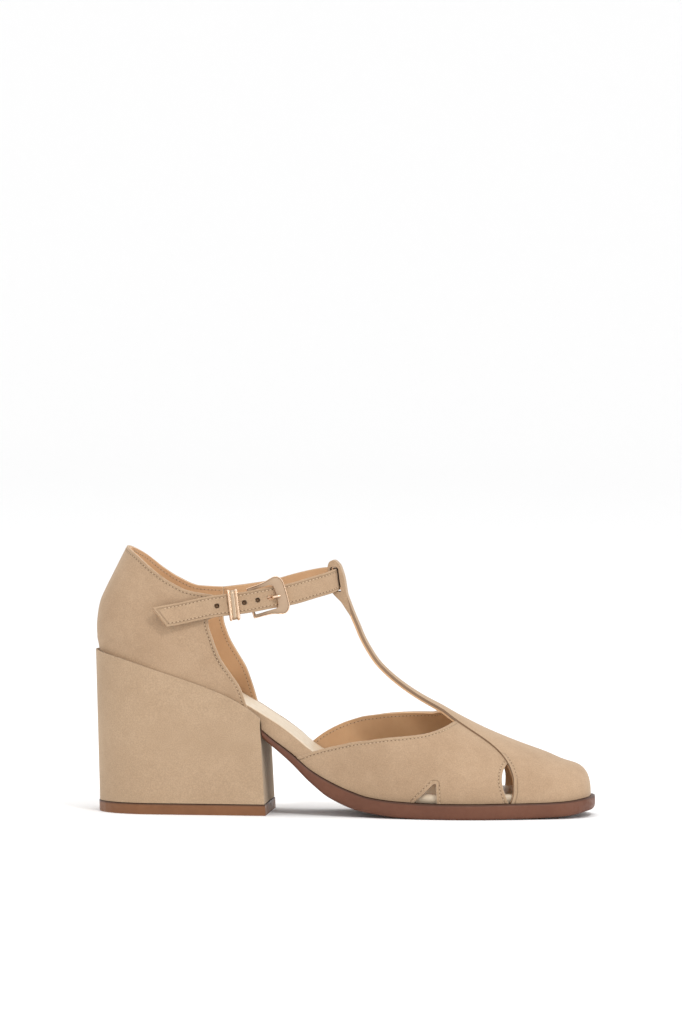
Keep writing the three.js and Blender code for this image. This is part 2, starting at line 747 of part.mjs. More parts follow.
// A side panel, from the waist to the slit beside the toe piece
function makePanel(rows, side) {
  const [bottom, lift, bow] = [rows.bottom, rows.lift, rows.bow].map(straight);
  const [top, topHeight] = [rows.top, rows.top_height].map(byRow);
  const surface = (column, up) => {
    const footX = place(bottom(column));
    const footTurn = turnAt(footX, feather(footX) + VAMP_HEIGHT * lift(column));
    const back = bow(column) * SLIT_BOW * Math.sin(Math.PI * up);
    const topX = place(top(column));
    const topTurn = turnAt(topX, feather(topX) + VAMP_HEIGHT * topHeight(column));
    return onLast(lerp(footX, topX, up) - back, lerp(footTurn, topTurn, up), side);
  };
  const last = rows.bottom.length - 1;
  const inside = () => PANEL_STEP + PANEL_WALL;
  return shell(steps(0, last, last), steps(0, 1, 6), surface, -side, () => PANEL_STEP, inside);
}

// The strip that covers the insole's edge along the waist
const RAND_FROM = place(0.26);
const RAND_TO = place(0.52);
function makeRand(side) {
  const surface = (x, up) => onLast(x, turnAt(x, feather(x) + RAND_HEIGHT * up), side);
  const outside = () => RAND_STEP;
  const inside = () => RAND_STEP + RAND_WALL;
  return shell(steps(RAND_FROM, RAND_TO, 16), steps(0, 1, 2), surface, -side, outside, inside);
}

// The quarter: round the back from one front edge to the other
const collarHeight = {
  [LATERAL]: smooth(COLLAR.at, COLLAR.lateral),
  [MEDIAL]: smooth(COLLAR.at, COLLAR.medial),
};
const frontEdge = {
  [LATERAL]: smooth(QUARTER_FRONT.height, QUARTER_FRONT.lateral),
  [MEDIAL]: smooth(QUARTER_FRONT.height, QUARTER_FRONT.medial),
};
const BACK_CROWD = 1.8; // columns crowd together towards the back by this power
const edgeX = (z, side) => place(frontEdge[side]((z - BACK_SEAT) / BACK_RISE));

// Where the front edge meets the feather edge, closed in on step by step
const frontFoot = (side) => steps(0, 1, 12).reduce((x) => edgeX(feather(x), side), BREAST);
const FRONT_FOOT = { [LATERAL]: frontFoot(LATERAL), [MEDIAL]: frontFoot(MEDIAL) };

function quarterPoint(aside, up) {
  const side = aside < 0 ? LATERAL : MEDIAL;
  const share = Math.abs(aside) ** BACK_CROWD;
  const collarZ = (x) => backHeight(collarHeight[side](x / LENGTH + 0.5));
  const [lowBack, highBack] = [backCurve(BACK_SEAT), backCurve(backHeight(1))];
  const [lowFront, highFront] = [FRONT_FOOT[side], edgeX(backHeight(1), side)];
  const backZ = lerp(feather(lowBack), backHeight(1), up);
  const frontZ = lerp(feather(lowFront), collarZ(highFront), up);
  const lowX = lerp(lowBack, lowFront, share);
  const highX = lerp(highBack, highFront, share);
  // Each edge of the patch, less what its corners count twice
  const blend = (bottom, top, back, front, corners) =>
    lerp(bottom, top, up) +
    lerp(back, front, share) -
    lerp(lerp(corners[0], corners[1], share), lerp(corners[2], corners[3], share), up);
  const cornersX = [lowBack, lowFront, highBack, highFront];
  const cornersZ = [feather(lowBack), feather(lowFront), backHeight(1), collarZ(highFront)];
  const x = blend(lowX, highX, backCurve(backZ), edgeX(frontZ, side), cornersX);
  const z = blend(feather(lowX), collarZ(highX), backZ, frontZ, cornersZ);
  return besideFoot(x, z, side);
}

function makeQuarter() {
  return shell(steps(-1, 1, 30), steps(0, 1, 9), quarterPoint, -1, () => 0, () => QUARTER_WALL);
}

// The tab of the quarter that wraps round the buckle's bar
const BAR_AHEAD = -0.45 * FRAME_LENGTH;
const BAR_RADIUS = Math.hypot(BAR_HALF, FRAME_THICK / 2);
const STRAP_FACE = -STRAP_THICK / 2;
const PRONG_OUT = STRAP_FACE - GAP - PRONG_RADIUS; // the prong's shank, under the strap
const BAR_OUT = PRONG_OUT - PRONG_RADIUS - GAP - BAR_RADIUS;
const TAB_FACE = STRAP_FACE - TAB_STEP;
function makeTab() {
  const eye = BAR_RADIUS + GAP + WRAP;
  const [top, bottom] = [BAR_OUT + eye, BAR_OUT - eye];
  const around = circle(BAR_AHEAD, BAR_OUT, eye, 16);
  const wrapped = around.filter(([ahead]) => ahead > BAR_AHEAD - eye / 2);
  const upper = wrapped.filter(([, out]) => out > BAR_OUT);
  const lower = wrapped.filter(([, out]) => out <= BAR_OUT + MERGE);
  const lengths = steps(TAB_BACK, BAR_AHEAD - 2 * eye, 5);
  const outline = [
    ...lengths.map((ahead) => [ahead, TAB_FACE]),
    ...upper.sort((a, b) => a[0] - b[0]),
    ...lower.sort((a, b) => b[0] - a[0]),
    ...lengths.reverse().map((ahead) => [ahead, TAB_FACE - TAB_WALL]),
  ];
  const width = STRAP_WIDTH - 4 * GAP;
  const put = (u, v, w) => {
    const across = w - width / 2;
    const turned = clamp((u - TAB_BACK) / (BAR_AHEAD - TAB_BACK), 0, 1);
    return atBuckle(u - FRAME_TILT * turned * across, across, v);
  };
  const bore = circle(BAR_AHEAD, BAR_OUT, BAR_RADIUS + GAP, 12);
  const slot = 2 * (PRONG_RADIUS + GAP + JOIN);
  const slotEnd = BAR_AHEAD - eye - 2 * PRONG_RADIUS;
  const slotOutline = [
    [slotEnd, bottom - WRAP],
    [BAR_AHEAD + 2 * eye, bottom - WRAP],
    [BAR_AHEAD + 2 * eye, top + WRAP],
    [slotEnd, top + WRAP],
  ];
  const cut = extruded(slotOutline, [], slot, (u, v, w) => atBuckle(u, w - slot / 2, v));
  return extruded(outline, [bore], width, put).subtract(cut);
}

const SMALLEST = 0.004; // faces finer than this are joined up after the union
function makeUpper() {
  const pieces = [
    makeForepart(),
    makeLoop(),
    makePanel(LATERAL_PANEL, LATERAL),
    makePanel(MEDIAL_PANEL, MEDIAL),
    makeRand(LATERAL),
    makeRand(MEDIAL),
    makeQuarter(),
    makeTab(),
  ];
  return pieces.reduce((whole, part) => whole.add(part)).simplify(SMALLEST);
}

// The plan of the feather edge, from the back (0) to the toe (1), moved out by a margin
function planPoint(share, side) {
  const x = lerp(backCurve(BACK_SEAT), TOE_END, (1 - Math.cos(Math.PI * share)) / 2);
  return onLast(x, 1, side);
}
function planEdge(share, side, margin) {
  const ahead = planPoint(Math.min(share + NUDGE, 1), side);
  const step = ahead.sub(planPoint(Math.max(share - NUDGE, 0), side)).setZ(0).normalize();
  const sideways = new THREE.Vector3(-step.y, step.x, 0).multiplyScalar(side * margin);
  return planPoint(share, side).add(sideways);
}

// A plate that follows the plan: profile gives each level as a margin and a height
const PLAN_STATIONS = steps(0, 1, 46);
function makePlate(shares, profile) {
  const rings = shares.map((share) => {
    const x = planPoint(share, LATERAL).x;
    const levels = profile(x);
    const onSide = (side) =>
      levels.map(([margin, height]) => {
        const edge = planEdge(share, side, margin);
        return edge.setZ(height(edge.x));
      });
    return [...onSide(LATERAL), ...onSide(MEDIAL).reverse()];
  });
  return loft(rings);
}

function makeInsole() {
  const thick = smooth(INSOLE.at, INSOLE.thick);
  const top = (x) => feather(x) + RAND_HEIGHT * thick(x / LENGTH + 0.5);
  const inset = -(TOE_WALL + GAP + INSOLE_SLACK);
  return makePlate(PLAN_STATIONS, () => [
    [inset - INSOLE_ROUND, (x) => top(x)],
    [inset - INSOLE_ROUND / 2, (x) => top(x) - INSOLE_ROUND / 2],
    [inset - INSOLE_ROUND / 7, (x) => lerp(feather(x), top(x), 0.4)],
    [inset, (x) => feather(x)],
  ]);
}

function makeOutsole() {
  const thick = smooth(SOLE.at, SOLE.thick);
  const edges = [WAIST_EDGE, WAIST_EDGE, BALL_EDGE, BALL_EDGE, TOE_EDGE];
  const edge = smooth([0.3, 0.5, 0.62, 0.9, 1], edges);
  const level = (share) => (x) =>
    seat(x) - JOIN * (1 - share) - share * TREAD * thick(x / LENGTH + 0.5);
  const ahead = PLAN_STATIONS.filter((share) => planPoint(share, LATERAL).x > BREAST - CLEAR);
  const plate = makePlate(ahead, (x) =>
    SOLE_EDGE.out.map((out, i) => {
      return [edge(x / LENGTH + 0.5) + out * SOLE_ROUND, level(SOLE_EDGE.depth[i])];
    }),
  );
  const [normal, offset] = breastPlane(GAP);
  return plate.trimByPlane(normal, offset);
}

// The heel's front face, leaning, moved forward by a distance
const BREAST_TOP = seat(BREAST) + HEEL_RIM;
function breastPlane(forward) {
  const normal = new THREE.Vector3(BREAST_TOP, 0, BREAST_SLOPE).normalize();
  const point = new THREE.Vector3(BREAST + forward, 0, BREAST_TOP);
  return [normal.toArray(), normal.dot(point)];
}

// The heel's plan at a height, drawn in by a margin
const HEEL_POINTS = 12;
const HEEL_TOP = BACK_SEAT + 2 * HEEL_RIM;
function heelRing(z, margin) {
  const down = 1 - z / BREAST_TOP;
  const back = -HALF + HEEL_BACK_SLOPE * (1 - z / BACK_SEAT) + margin;
  const front = BREAST + BREAST_SLOPE * down - margin;
  const half = (HEEL_WIDTH / 2) * lerp(HEEL_TAPER, 1, z / BACK_SEAT) - margin;
  const onSide = (side) =>
    steps(0, 1, HEEL_POINTS).map((share) => {
      const x = lerp(back, front, share ** BACK_CROWD);
      const waist = side === MEDIAL ? lerp(1, HEEL_WAIST, share ** HEEL_WAIST_POWER) : 1;
      const round = roundOff(1 - (x - back) / COLLAR_RADIUS, BACK_POWER);
      return new THREE.Vector3(x, side * half * waist * round, z);
    });
  return [...onSide(LATERAL), ...onSide(MEDIAL).reverse()];
}

// The room that upper and insole take on the heel's seat
function makeSeatRoom() {
  const end = BREAST + CLEAR;
  const wall = (share, up, side) => {
    const z = (x) => feather(x) + 2 * HEEL_RIM * up;
    const x = lerp(backCurve(BACK_SEAT + 2 * HEEL_RIM * up), end, share ** BACK_CROWD);
    return besideFoot(x, z(x), side);
  };
  const rings = steps(0, 1, 28).map((share) => {
    const onSide = (side) =>
      steps(0, 1, 4).map((up) => {
        const surface = (s, t) => wall(s, t, side);
        const ranges = [
          [0, 1],
          [0, 1],
        ];
        const point = under(surface, share, up, ranges, side * GAP);
        if (share === 0) point.set(backCurve(point.z) - GAP, 0, wall(0, up, side).z);
        return up === 0 ? point.setZ(seat(point.x) - GAP) : point;
      });
    return [...onSide(LATERAL), ...onSide(MEDIAL).reverse()];
  });
  return loft(rings);
}

function makeHeel() {
  const levels = [TOP_PIECE + GAP, ...steps(BACK_SEAT / 4, HEEL_TOP, 4)];
  const block = loft(levels.map((z) => heelRing(z, 0)));
  const [from, to] = [-HALF - CLEAR, BREAST + CLEAR];
  const rim = steps(from, to, 24).map((x) => [x, seat(x) + HEEL_RIM]);
  const outline = [...rim, [to, 2 * HEEL_TOP], [from, 2 * HEEL_TOP]];
  const across = (u, v, w) => new THREE.Vector3(u, w - HEEL_WIDTH, v);
  const above = extruded(outline, [], 2 * HEEL_WIDTH, across);
  return block.subtract(above).subtract(makeSeatRoom()).simplify(SMALLEST);
}

function makeTopPiece() {
  return loft([0, TOP_PIECE].map((z) => heelRing(z, TOP_PIECE_MARGIN)));
}

// Ankle strap
function strapRing(run, slant) {
  const [w, t, c] = [STRAP_WIDTH / 2, STRAP_THICK / 2, STRAP_CORNER];
  const corners = [
    [w - c, t],
    [w, t - c],
    [w, c - t],
    [w - c, -t],
    [c - w, -t],
    [-w, c - t],
    [-w, t - c],
    [c - w, t],
  ];
  return corners.map(([across, out]) => {
    const back = slant * (across / STRAP_WIDTH - 0.5);
    return onStrap(run + back, across, out);
  });
}

function strapHole(ahead) {
  const bore = new THREE.CylinderGeometry(HOLE_RADIUS, HOLE_RADIUS, 4 * STRAP_THICK, 10);
  return mapped(bore, (x, y, z) => atBuckle(ahead + x, z, y));
}

function makeStrap() {
  const count = 56;
  const slanted = 3; // steps over which the end takes up its slant
  const rings = steps(0, STRAP_LENGTH, count).map((run, i) =>
    strapRing(run, TIP_SLANT * clamp((i - count) / slanted + 1, 0, 1)),
  );
  const places = steps(0, HOLES_BEHIND, HOLES_BEHIND).map((k) => PRONG_HOLE - k * HOLE_SPACING);
  const ends = [1, -1].map((end) => PRONG_HOLE + (end * PRONG_HOLE_LENGTH) / 2);
  const holes = [...places, ...ends].map(strapHole);
  return holes.reduce((strap, hole) => strap.subtract(hole), loft(rings));
}

const FRONT_OUT = STRAP_THICK / 2 + GAP + FRAME_THICK / 2;
const frameRise = smooth(FRAME_BEND.along, FRAME_BEND.rise);
const frameOut = (along) => lerp(BAR_OUT, FRONT_OUT, frameRise(along / FRAME_LENGTH));
const WINDOW_HALF = STRAP_WIDTH / 2 + 2 * GAP;

function onFrame(along, across, out) {
  const [c, s] = [Math.cos(FRAME_TILT), Math.sin(FRAME_TILT)];
  return atBuckle(along * c - across * s, across * c + along * s, frameOut(along) + out);
}

function makeFrame() {
  const half = (side, alongs, acrosses) =>
    alongs.map((along, i) => {
      return new THREE.Vector3(along * FRAME_LENGTH, side * acrosses[i] * WINDOW_HALF, 0);
    });
  const round = (alongs, acrosses) => {
    const back = half(-1, alongs, acrosses).slice(1, -1).reverse();
    return new THREE.CatmullRomCurve3([...half(1, alongs, acrosses), ...back], true);
  };
  const outer = round(BUCKLE.outer_along, BUCKLE.outer_across);
  const inner = round(BUCKLE.inner_along, BUCKLE.inner_across);
  const rings = steps(0, 1, 48).slice(1).map((share) => {
    const [near, far] = [inner.getPoint(share), outer.getPoint(share)];
    const width = near.distanceTo(far);
    const rim = Math.min(FRAME_RIM, width / 4);
    const face = FRAME_THICK / 2;
    const raised = face + FRAME_RIM_HEIGHT * clamp((width - 2 * BAR_HALF) / FRAME_RIM, 0, 1);
    const section = [
      [0, -face],
      [0, raised],
      [rim, raised],
      [rim * 1.2, face],
      [width - rim * 1.2, face],
      [width - rim, raised],
      [width, raised],
      [width, -face],
    ];
    return section.map(([from, out]) => {
      const point = near.clone().lerp(far, from / width);
      return onFrame(point.x, point.y, out);
    });
  });
  return loft(rings, true);
}

// The prong: hooked round the bar, under the strap, up through its hole and onto the frame
function makeProng() {
  const hook = BAR_RADIUS + GAP + PRONG_RADIUS;
  const tip = FRONT_OUT + FRAME_THICK / 2 + FRAME_RIM_HEIGHT + GAP + PRONG_RADIUS;
  const turns = steps(-RIGHT_ANGLE, -3 * RIGHT_ANGLE, 6);
  const hooked = turns.map((a) => [BAR_AHEAD + hook * Math.cos(a), BAR_OUT + hook * Math.sin(a)]);
  const path = [
    ...hooked,
    [BAR_AHEAD + 2 * hook, PRONG_OUT],
    [PRONG_HOLE - PRONG_RISE, PRONG_OUT],
    [PRONG_HOLE - PRONG_RISE / 3, PRONG_OUT + PRONG_RADIUS / 2],
    [PRONG_HOLE, 0],
    [PRONG_HOLE + PRONG_RISE / 3, tip - 2 * PRONG_RADIUS],
    [PRONG_HOLE + PRONG_RISE, tip],
    [PRONG_HOLE + PRONG_REACH, tip],
  ].map(([ahead, out]) => new THREE.Vector3(ahead, 0, out));
  const curve = new THREE.CatmullRomCurve3(path);
  const rings = steps(0, 1, 30).map((share) => {
    const middle = curve.getPoint(share);
    const way = curve.getTangent(share);
    return circle(0, 0, PRONG_RADIUS, 8).map(([u, v]) =>
      atBuckle(middle.x - way.z * u, v, middle.z + way.x * u),
    );
  });
  return loft(rings);
}

// The keeper: a metal loop round strap and tab, with a ridge along either edge
function makeKeeper() {
  const depthOut = STRAP_THICK / 2 + GAP;
  const depthIn = TAB_FACE - TAB_WALL - 2 * GAP;
  const [halfAcross, halfOut] = [STRAP_WIDTH / 2 + GAP, (depthOut - depthIn) / 2];
  const middle = (depthOut + depthIn) / 2;
  const edge = KEEPER_WIDTH / 2;
  const raised = KEEPER_WALL + KEEPER_RIDGE;
  const ridge = (side) => [
    [side * edge, KEEPER_WALL],
    [side * (edge - 0.3 * KEEPER_RIM), raised],
    [side * (edge - 0.7 * KEEPER_RIM), raised],
    [side * (edge - KEEPER_RIM), KEEPER_WALL],
  ];
  const section = [[-edge, 0], [edge, 0], ...ridge(1), ...ridge(-1).reverse()];
  const rings = [0, 1, 2, 3].flatMap((k) => {
    const start = k * RIGHT_ANGLE;
    const across = (k === 0 || k === 3 ? 1 : -1) * (halfAcross - KEEPER_CORNER);
    const out = (k < 2 ? 1 : -1) * (halfOut - KEEPER_CORNER);
    return steps(start, start + RIGHT_ANGLE, 3).map((angle) =>
      section.map(([ahead, thick]) =>
        atBuckle(
          ahead - KEEPER_FROM_BUCKLE,
          across + (KEEPER_CORNER + thick) * Math.cos(angle),
          middle + out + (KEEPER_CORNER + thick) * Math.sin(angle),
        ),
      ),
    );
  });
  return loft(rings, true);
}

// Finishes
const suede = new THREE.MeshStandardMaterial({ color: 0xc9b394, roughness: 0.95, metalness: 0 });
const sock = new THREE.MeshStandardMaterial({ color: 0xe4dccb, roughness: 0.6, metalness: 0 });
const soleLeather = new THREE.MeshStandardMaterial({ color: 0x9a6a45, roughness: 0.6, metalness: 0 });
const goldMetal = new THREE.MeshStandardMaterial({ color: 0xe2c19a, roughness: 0.3, metalness: 1 });

const pieces = [
  ["upper", makeUpper(), suede],
  ["insole", makeInsole(), sock],
  ["outsole", makeOutsole(), soleLeather],
  ["heel", makeHeel(), suede],
  ["top_piece", makeTopPiece(), soleLeather],
  ["ankle_strap", makeStrap(), suede],
  ["buckle_frame", makeFrame(), goldMetal],
  ["buckle_prong", makeProng(), goldMetal],
  ["keeper", makeKeeper(), goldMetal],
];

const shoe = new THREE.Group();
for (const [name, made, material] of pieces) {
  const { vertProperties, triVerts } = made.getMesh();
  const geometry = new THREE.BufferGeometry();
  geometry.setAttribute("position", new THREE.BufferAttribute(vertProperties, 3));
  geometry.setIndex(new THREE.BufferAttribute(triVerts, 1));
  geometry.computeVertexNormals();
  const mesh = new THREE.Mesh(geometry, material);
  mesh.name = name;
  shoe.add(mesh);
}

// The origin is under the middle of the shoe, on the floor
const middle = new THREE.Box3().setFromObject(shoe).getCenter(new THREE.Vector3());
shoe.position.set(-middle.x, -middle.y, 0);
shoe.updateMatrixWorld(true);

export default shoe;
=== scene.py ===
# %% [markdown]
# # A nubuck T-strap shoe on a block heel
#
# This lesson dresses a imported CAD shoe. The CAD model is the fixed frame: it says how big
# everything is and where it sits. Each leather, sole and metal part is made again here with
# a finer surface, cut edges, stitches and a finish, in the place that its solid holds.

from bisect import bisect_left
from functools import lru_cache
from math import acos, atan2, cos, exp, floor, hypot, pi, radians, sin

import bmesh
import bpy
from mathutils import Matrix, Vector
from mathutils.kdtree import KDTree


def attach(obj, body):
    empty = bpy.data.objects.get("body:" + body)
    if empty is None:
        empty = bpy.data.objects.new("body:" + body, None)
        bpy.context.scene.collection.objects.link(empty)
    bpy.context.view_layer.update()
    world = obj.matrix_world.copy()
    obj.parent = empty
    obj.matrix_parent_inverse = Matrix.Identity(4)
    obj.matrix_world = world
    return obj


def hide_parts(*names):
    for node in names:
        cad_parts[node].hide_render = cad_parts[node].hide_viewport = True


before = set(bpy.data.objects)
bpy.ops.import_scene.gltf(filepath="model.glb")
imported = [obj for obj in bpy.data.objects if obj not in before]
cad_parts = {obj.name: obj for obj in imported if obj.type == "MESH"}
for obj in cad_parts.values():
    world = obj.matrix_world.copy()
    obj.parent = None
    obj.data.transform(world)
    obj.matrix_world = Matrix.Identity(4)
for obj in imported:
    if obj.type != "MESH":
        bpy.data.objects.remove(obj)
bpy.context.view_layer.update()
BODY = "root"
MM = 0.001

# %% [markdown]
# ## The last
#
# A shoe is built round a last, a solid shape of the foot. The whole upper follows it, so it is
# written once, as a function from a place along the foot and a turn round it to a point. The
# tables hold shares of a few real sizes in millimetres, and a curve that never overshoots
# joins their rows. A sculpted mesh would look as good but couldn't be measured or changed.

# %% Sizes of the shoe in millimetres
LENGTH = 250
HALF = LENGTH / 2
BALL_WIDTH = 77
TREAD = 7.6
PITCH = 67.9
VAMP_HEIGHT = 42.4
TOE_SPRING = 2.4
BACK_RISE = 57.2
BACK_LEAN = 15.3
BACK_RADIUS = 36
COLLAR_RADIUS = 30
BACK_POWER = 2.2
SHOULDER = 2.2
BULGE = 0.03
TOE_EDGE = 2.2
TOE_TAPER = 20.8
TOE_TAPER_POWER = 3.2
TOE_FALL = 12.8
TOE_FALL_POWER = 2.7
GAP = 0.3
BACK_SEAT = TREAD + PITCH
TOE_END = HALF - TOE_EDGE
LATERAL = -1
MEDIAL = 1
SIDES = ((LATERAL, "outer"), (MEDIAL, "inner"))
SHIFT = Vector((0.055, 0.35, 0))  # from the last's own origin to the middle of the shoe's box


# %% Small mathematical helpers
def lerp(start, end, share):
    return start + (end - start) * share


def clamp(value, low=0, high=1):
    return max(low, min(high, value))


def steps(start, end, count):
    return [lerp(start, end, i / count) for i in range(count + 1)]


def round_off(share, power):
    """A quarter of a rounded square: 1 at 0, falling to 0 at 1."""
    return (1 - clamp(share) ** power) ** (1 / power)


def smooth(along, values):
    """A curve through rows of a table that never swings past them."""
    gaps = [after - before for before, after in zip(along, along[1:])]
    slopes = [(b - a) / gap for a, b, gap in zip(values, values[1:], gaps)]
    tangents = [slopes[0]]
    for i, (before, after) in enumerate(zip(slopes, slopes[1:])):
        nearer = 2 * gaps[i + 1] + gaps[i]
        further = gaps[i + 1] + 2 * gaps[i]
        same_way = before * after > 0
        tangents.append((nearer + further) / (nearer / before + further / after) if same_way else 0)
    tangents.append(slopes[-1])

    def curve(at):
        here = clamp(at, along[0], along[-1])
        i = clamp(bisect_left(along, here) - 1, 0, len(gaps) - 1)
        t = (here - along[i]) / gaps[i]
        ends = (1 + 2 * t) * (1 - t) ** 2 * values[i] + t * t * (3 - 2 * t) * values[i + 1]
        bends = t * (1 - t) ** 2 * tangents[i] - t * t * (1 - t) * tangents[i + 1]
        return ends + gaps[i] * bends

    return curve


def columns(*rows):
    return [list(column) for column in zip(*rows)]


def by_row(values):
    return smooth(list(range(len(values))), values)


def straight(values):
    """Straight stretches between the values of a column, by row number."""

    def curve(row):
        i = clamp(floor(row), 0, len(values) - 2)
        return lerp(values[i], values[i + 1], row - i)

    return curve


# %% Sections along the last
# Columns: share of the length from the back, seat height, ridge height, outer and inner
# half-widths, sideways place of the ridge
AT, SEAT, RISE, OUTER, INNER, RIDGE = columns(
    (0, 1, 2.78, 0.366, 0.366, 0),
    (0.06, 0.9455, 2.78, 0.366, 0.366, 0),
    (0.14, 0.854, 2.8, 0.366, 0.366, 0),
    (0.22, 0.757, 2.84, 0.366, 0.356, 0),
    (0.28, 0.667, 2.88, 0.358, 0.327, 0),
    (0.32, 0.579, 2.9, 0.348, 0.304, 0),
    (0.36, 0.4565, 2.86, 0.342, 0.286, 0),
    (0.4, 0.3476, 2.72, 0.342, 0.275, 0),
    (0.44, 0.2253, 2.48, 0.353, 0.278, 0),
    (0.48, 0.1414, 2.22, 0.375, 0.296, 0),
    (0.52, 0.078, 2.04, 0.403, 0.325, 0),
    (0.56, 0.034, 1.64, 0.435, 0.364, 0.004),
    (0.62, 0.0103, 1.325, 0.478, 0.426, 0.01),
    (0.7, 0, 1.08, 0.504, 0.483, 0.02),
    (0.724, 0, 1, 0.505, 0.4935, 0.023),
    (0.78, 0, 0.835, 0.483, 0.496, 0.031),
    (0.84, 0, 0.684, 0.4286, 0.4675, 0.039),
    (0.9, 0, 0.554, 0.357, 0.418, 0.047),
    (0.948, 0, 0.434, 0.292, 0.371, 0.051),
    (0.992, 0, 0.385, 0.221, 0.325, 0.0545),
)
SPRING_AT, SPRING = columns((0.78, 0), (0.84, 0.12), (0.9, 0.2), (0.948, 0.42), (0.992, 1))
BACK_HEIGHT, BACK_INSET = columns(
    (0, 0.111),
    (0.094, 0.098),
    (0.147, 0.065),
    (0.2, 0.013),
    (0.304, 0.013),
    (0.409, 0.046),
    (0.516, 0.124),
    (0.62, 0.288),
    (0.727, 0.484),
    (0.832, 0.68),
    (0.937, 0.876),
    (1, 1),
)
seat_share = smooth(AT, SEAT)
rise_share = smooth(AT, RISE)
ridge_share = smooth(AT, RIDGE)
width_share = {LATERAL: smooth(AT, OUTER), MEDIAL: smooth(AT, INNER)}
spring_share = smooth(SPRING_AT, SPRING)
back_inset = smooth(BACK_HEIGHT, BACK_INSET)


def place(at):
    return (at - 0.5) * LENGTH


def share_at(x):
    return x / LENGTH + 0.5


def seat(x):
    return TREAD + PITCH * seat_share(share_at(x)) + TOE_SPRING * spring_share(share_at(x))


def feather(x):
    return seat(x) + GAP / 2


def ridge_rise(x):
    fall = round_off((x - TOE_END + TOE_FALL) / TOE_FALL, TOE_FALL_POWER)
    return VAMP_HEIGHT * rise_share(share_at(x)) * fall


def ridge_line(x):
    return BALL_WIDTH * ridge_share(share_at(x))


def back_height(share):
    return BACK_SEAT + BACK_RISE * share


def back_curve(z):
    return BACK_LEAN * back_inset((z - BACK_SEAT) / BACK_RISE) - HALF


def end_rounding(x, z):
    radius = lerp(BACK_RADIUS, COLLAR_RADIUS, clamp((z - BACK_SEAT) / BACK_RISE))
    back = round_off(1 - (x - back_curve(z)) / radius, BACK_POWER)
    return back * round_off((x - TOE_END + TOE_TAPER) / TOE_TAPER, TOE_TAPER_POWER)


def on_last(x, turn, side):
    """A point on the last: turn is 0 on the ridge and 1 on the feather edge."""
    angle = turn * pi / 2
    height = cos(angle)
    z = feather(x) + ridge_rise(x) * height
    swell = 1 + BULGE * sin(pi * height)
    spread = max(sin(angle), 0) ** (2 / SHOULDER) * swell * end_rounding(x, z)
    reach = side * BALL_WIDTH * width_share[side](share_at(x)) - ridge_line(x)
    return Vector((x, ridge_line(x) + reach * spread, z))


def turn_at(x, z):
    rise = max(ridge_rise(x), GAP)
    return acos(clamp((z - feather(x)) / rise)) / (pi / 2)


def beside_foot(x, z, side):
    return on_last(x, turn_at(x, z), side)


print("Feather edge at the back, ball and toe:", [round(feather(place(at)), 1) for at in (0, 0.7, 0.99)])

# %% [markdown]
# ## Making a leather piece
#
# A piece of leather is a sheet. Each one starts as a flat bmesh grid, whose vertices a function
# lays on the last. It is pushed under the face by a depth, and a Solidify modifier gives it the
# leather's thickness and a Bevel its worn edge. Each vertex also keeps its distance from the
# sewn edges, so that the finish can press in the seam and pale the cut edge just there.

# %% Tools for sheets and closed pieces
SEAM_FAR = 30  # millimetres, for what no seam is near
FOOT_BACK = -85  # where the line down the middle of the foot begins and ends
FOOT_FRONT = 95


def to_object(made, name):
    """Turns a bmesh into an object in the scene."""
    mesh = bpy.data.meshes.new(name)
    made.to_mesh(mesh)
    made.free()
    piece = bpy.data.objects.new(name, mesh)
    bpy.context.collection.objects.link(piece)
    return piece


def grid(rows, across, point):
    """A bmesh grid with its vertices placed by a function of two shares."""
    made = bmesh.new()
    bmesh.ops.create_grid(made, x_segments=rows, y_segments=across, size=0.5)
    for vertex in made.verts:
        vertex.co = point(vertex.co.x + 0.5, vertex.co.y + 0.5)
    return made


def point_tree(points):
    tree = KDTree(len(points))
    for i, point in enumerate(points):
        tree.insert(point, i)
    tree.balance()
    return tree


def keep_seam(made, seam=()):
    """Writes each vertex's distance from the seam's points, in millimetres."""
    layer = made.verts.layers.float.new("seam_mm")
    tree = point_tree(seam)
    for vertex in made.verts:
        vertex[layer] = min(tree.find(vertex.co)[2], SEAM_FAR) if seam else SEAM_FAR


def finish_piece(made, name, material, node, wall=0, rounding=0, sharp=50):
    """Turns a bmesh in millimetres into a shaded object that stands for a CAD node."""
    bmesh.ops.translate(made, vec=SHIFT, verts=made.verts)
    bmesh.ops.scale(made, vec=(MM, MM, MM), verts=made.verts)
    for face in made.faces:
        face.smooth = True
    piece = to_object(made, name)
    piece.data.materials.append(material)
    if wall:
        solid = piece.modifiers.new("wall", "SOLIDIFY")
        solid.thickness = wall * MM
        solid.offset = -1
        solid.use_even_offset = True
    if rounding:
        edge = piece.modifiers.new("edge", "BEVEL")
        edge.width = rounding * MM
        edge.segments = 2
        edge.limit_method = "ANGLE"
        edge.angle_limit = radians(sharp)
        edge.harden_normals = True
    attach(piece, BODY)
    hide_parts(node)
    return piece


def face_out(made, outward):
    """Turns an open sheet so that its normals agree with a direction given at each face."""
    made.normal_update()
    agree = sum(face.normal.dot(outward(face.calc_center_median())) for face in made.faces)
    if agree < 0:
        bmesh.ops.reverse_faces(made, faces=made.faces)
        made.normal_update()


def from_foot(point):
    """Roughly away from the inside of the shoe."""
    inside = Vector((clamp(point.x, FOOT_BACK, FOOT_FRONT), ridge_line(point.x), point.z))
    if point.x > 0:
        inside.z = feather(point.x)
    return point - inside


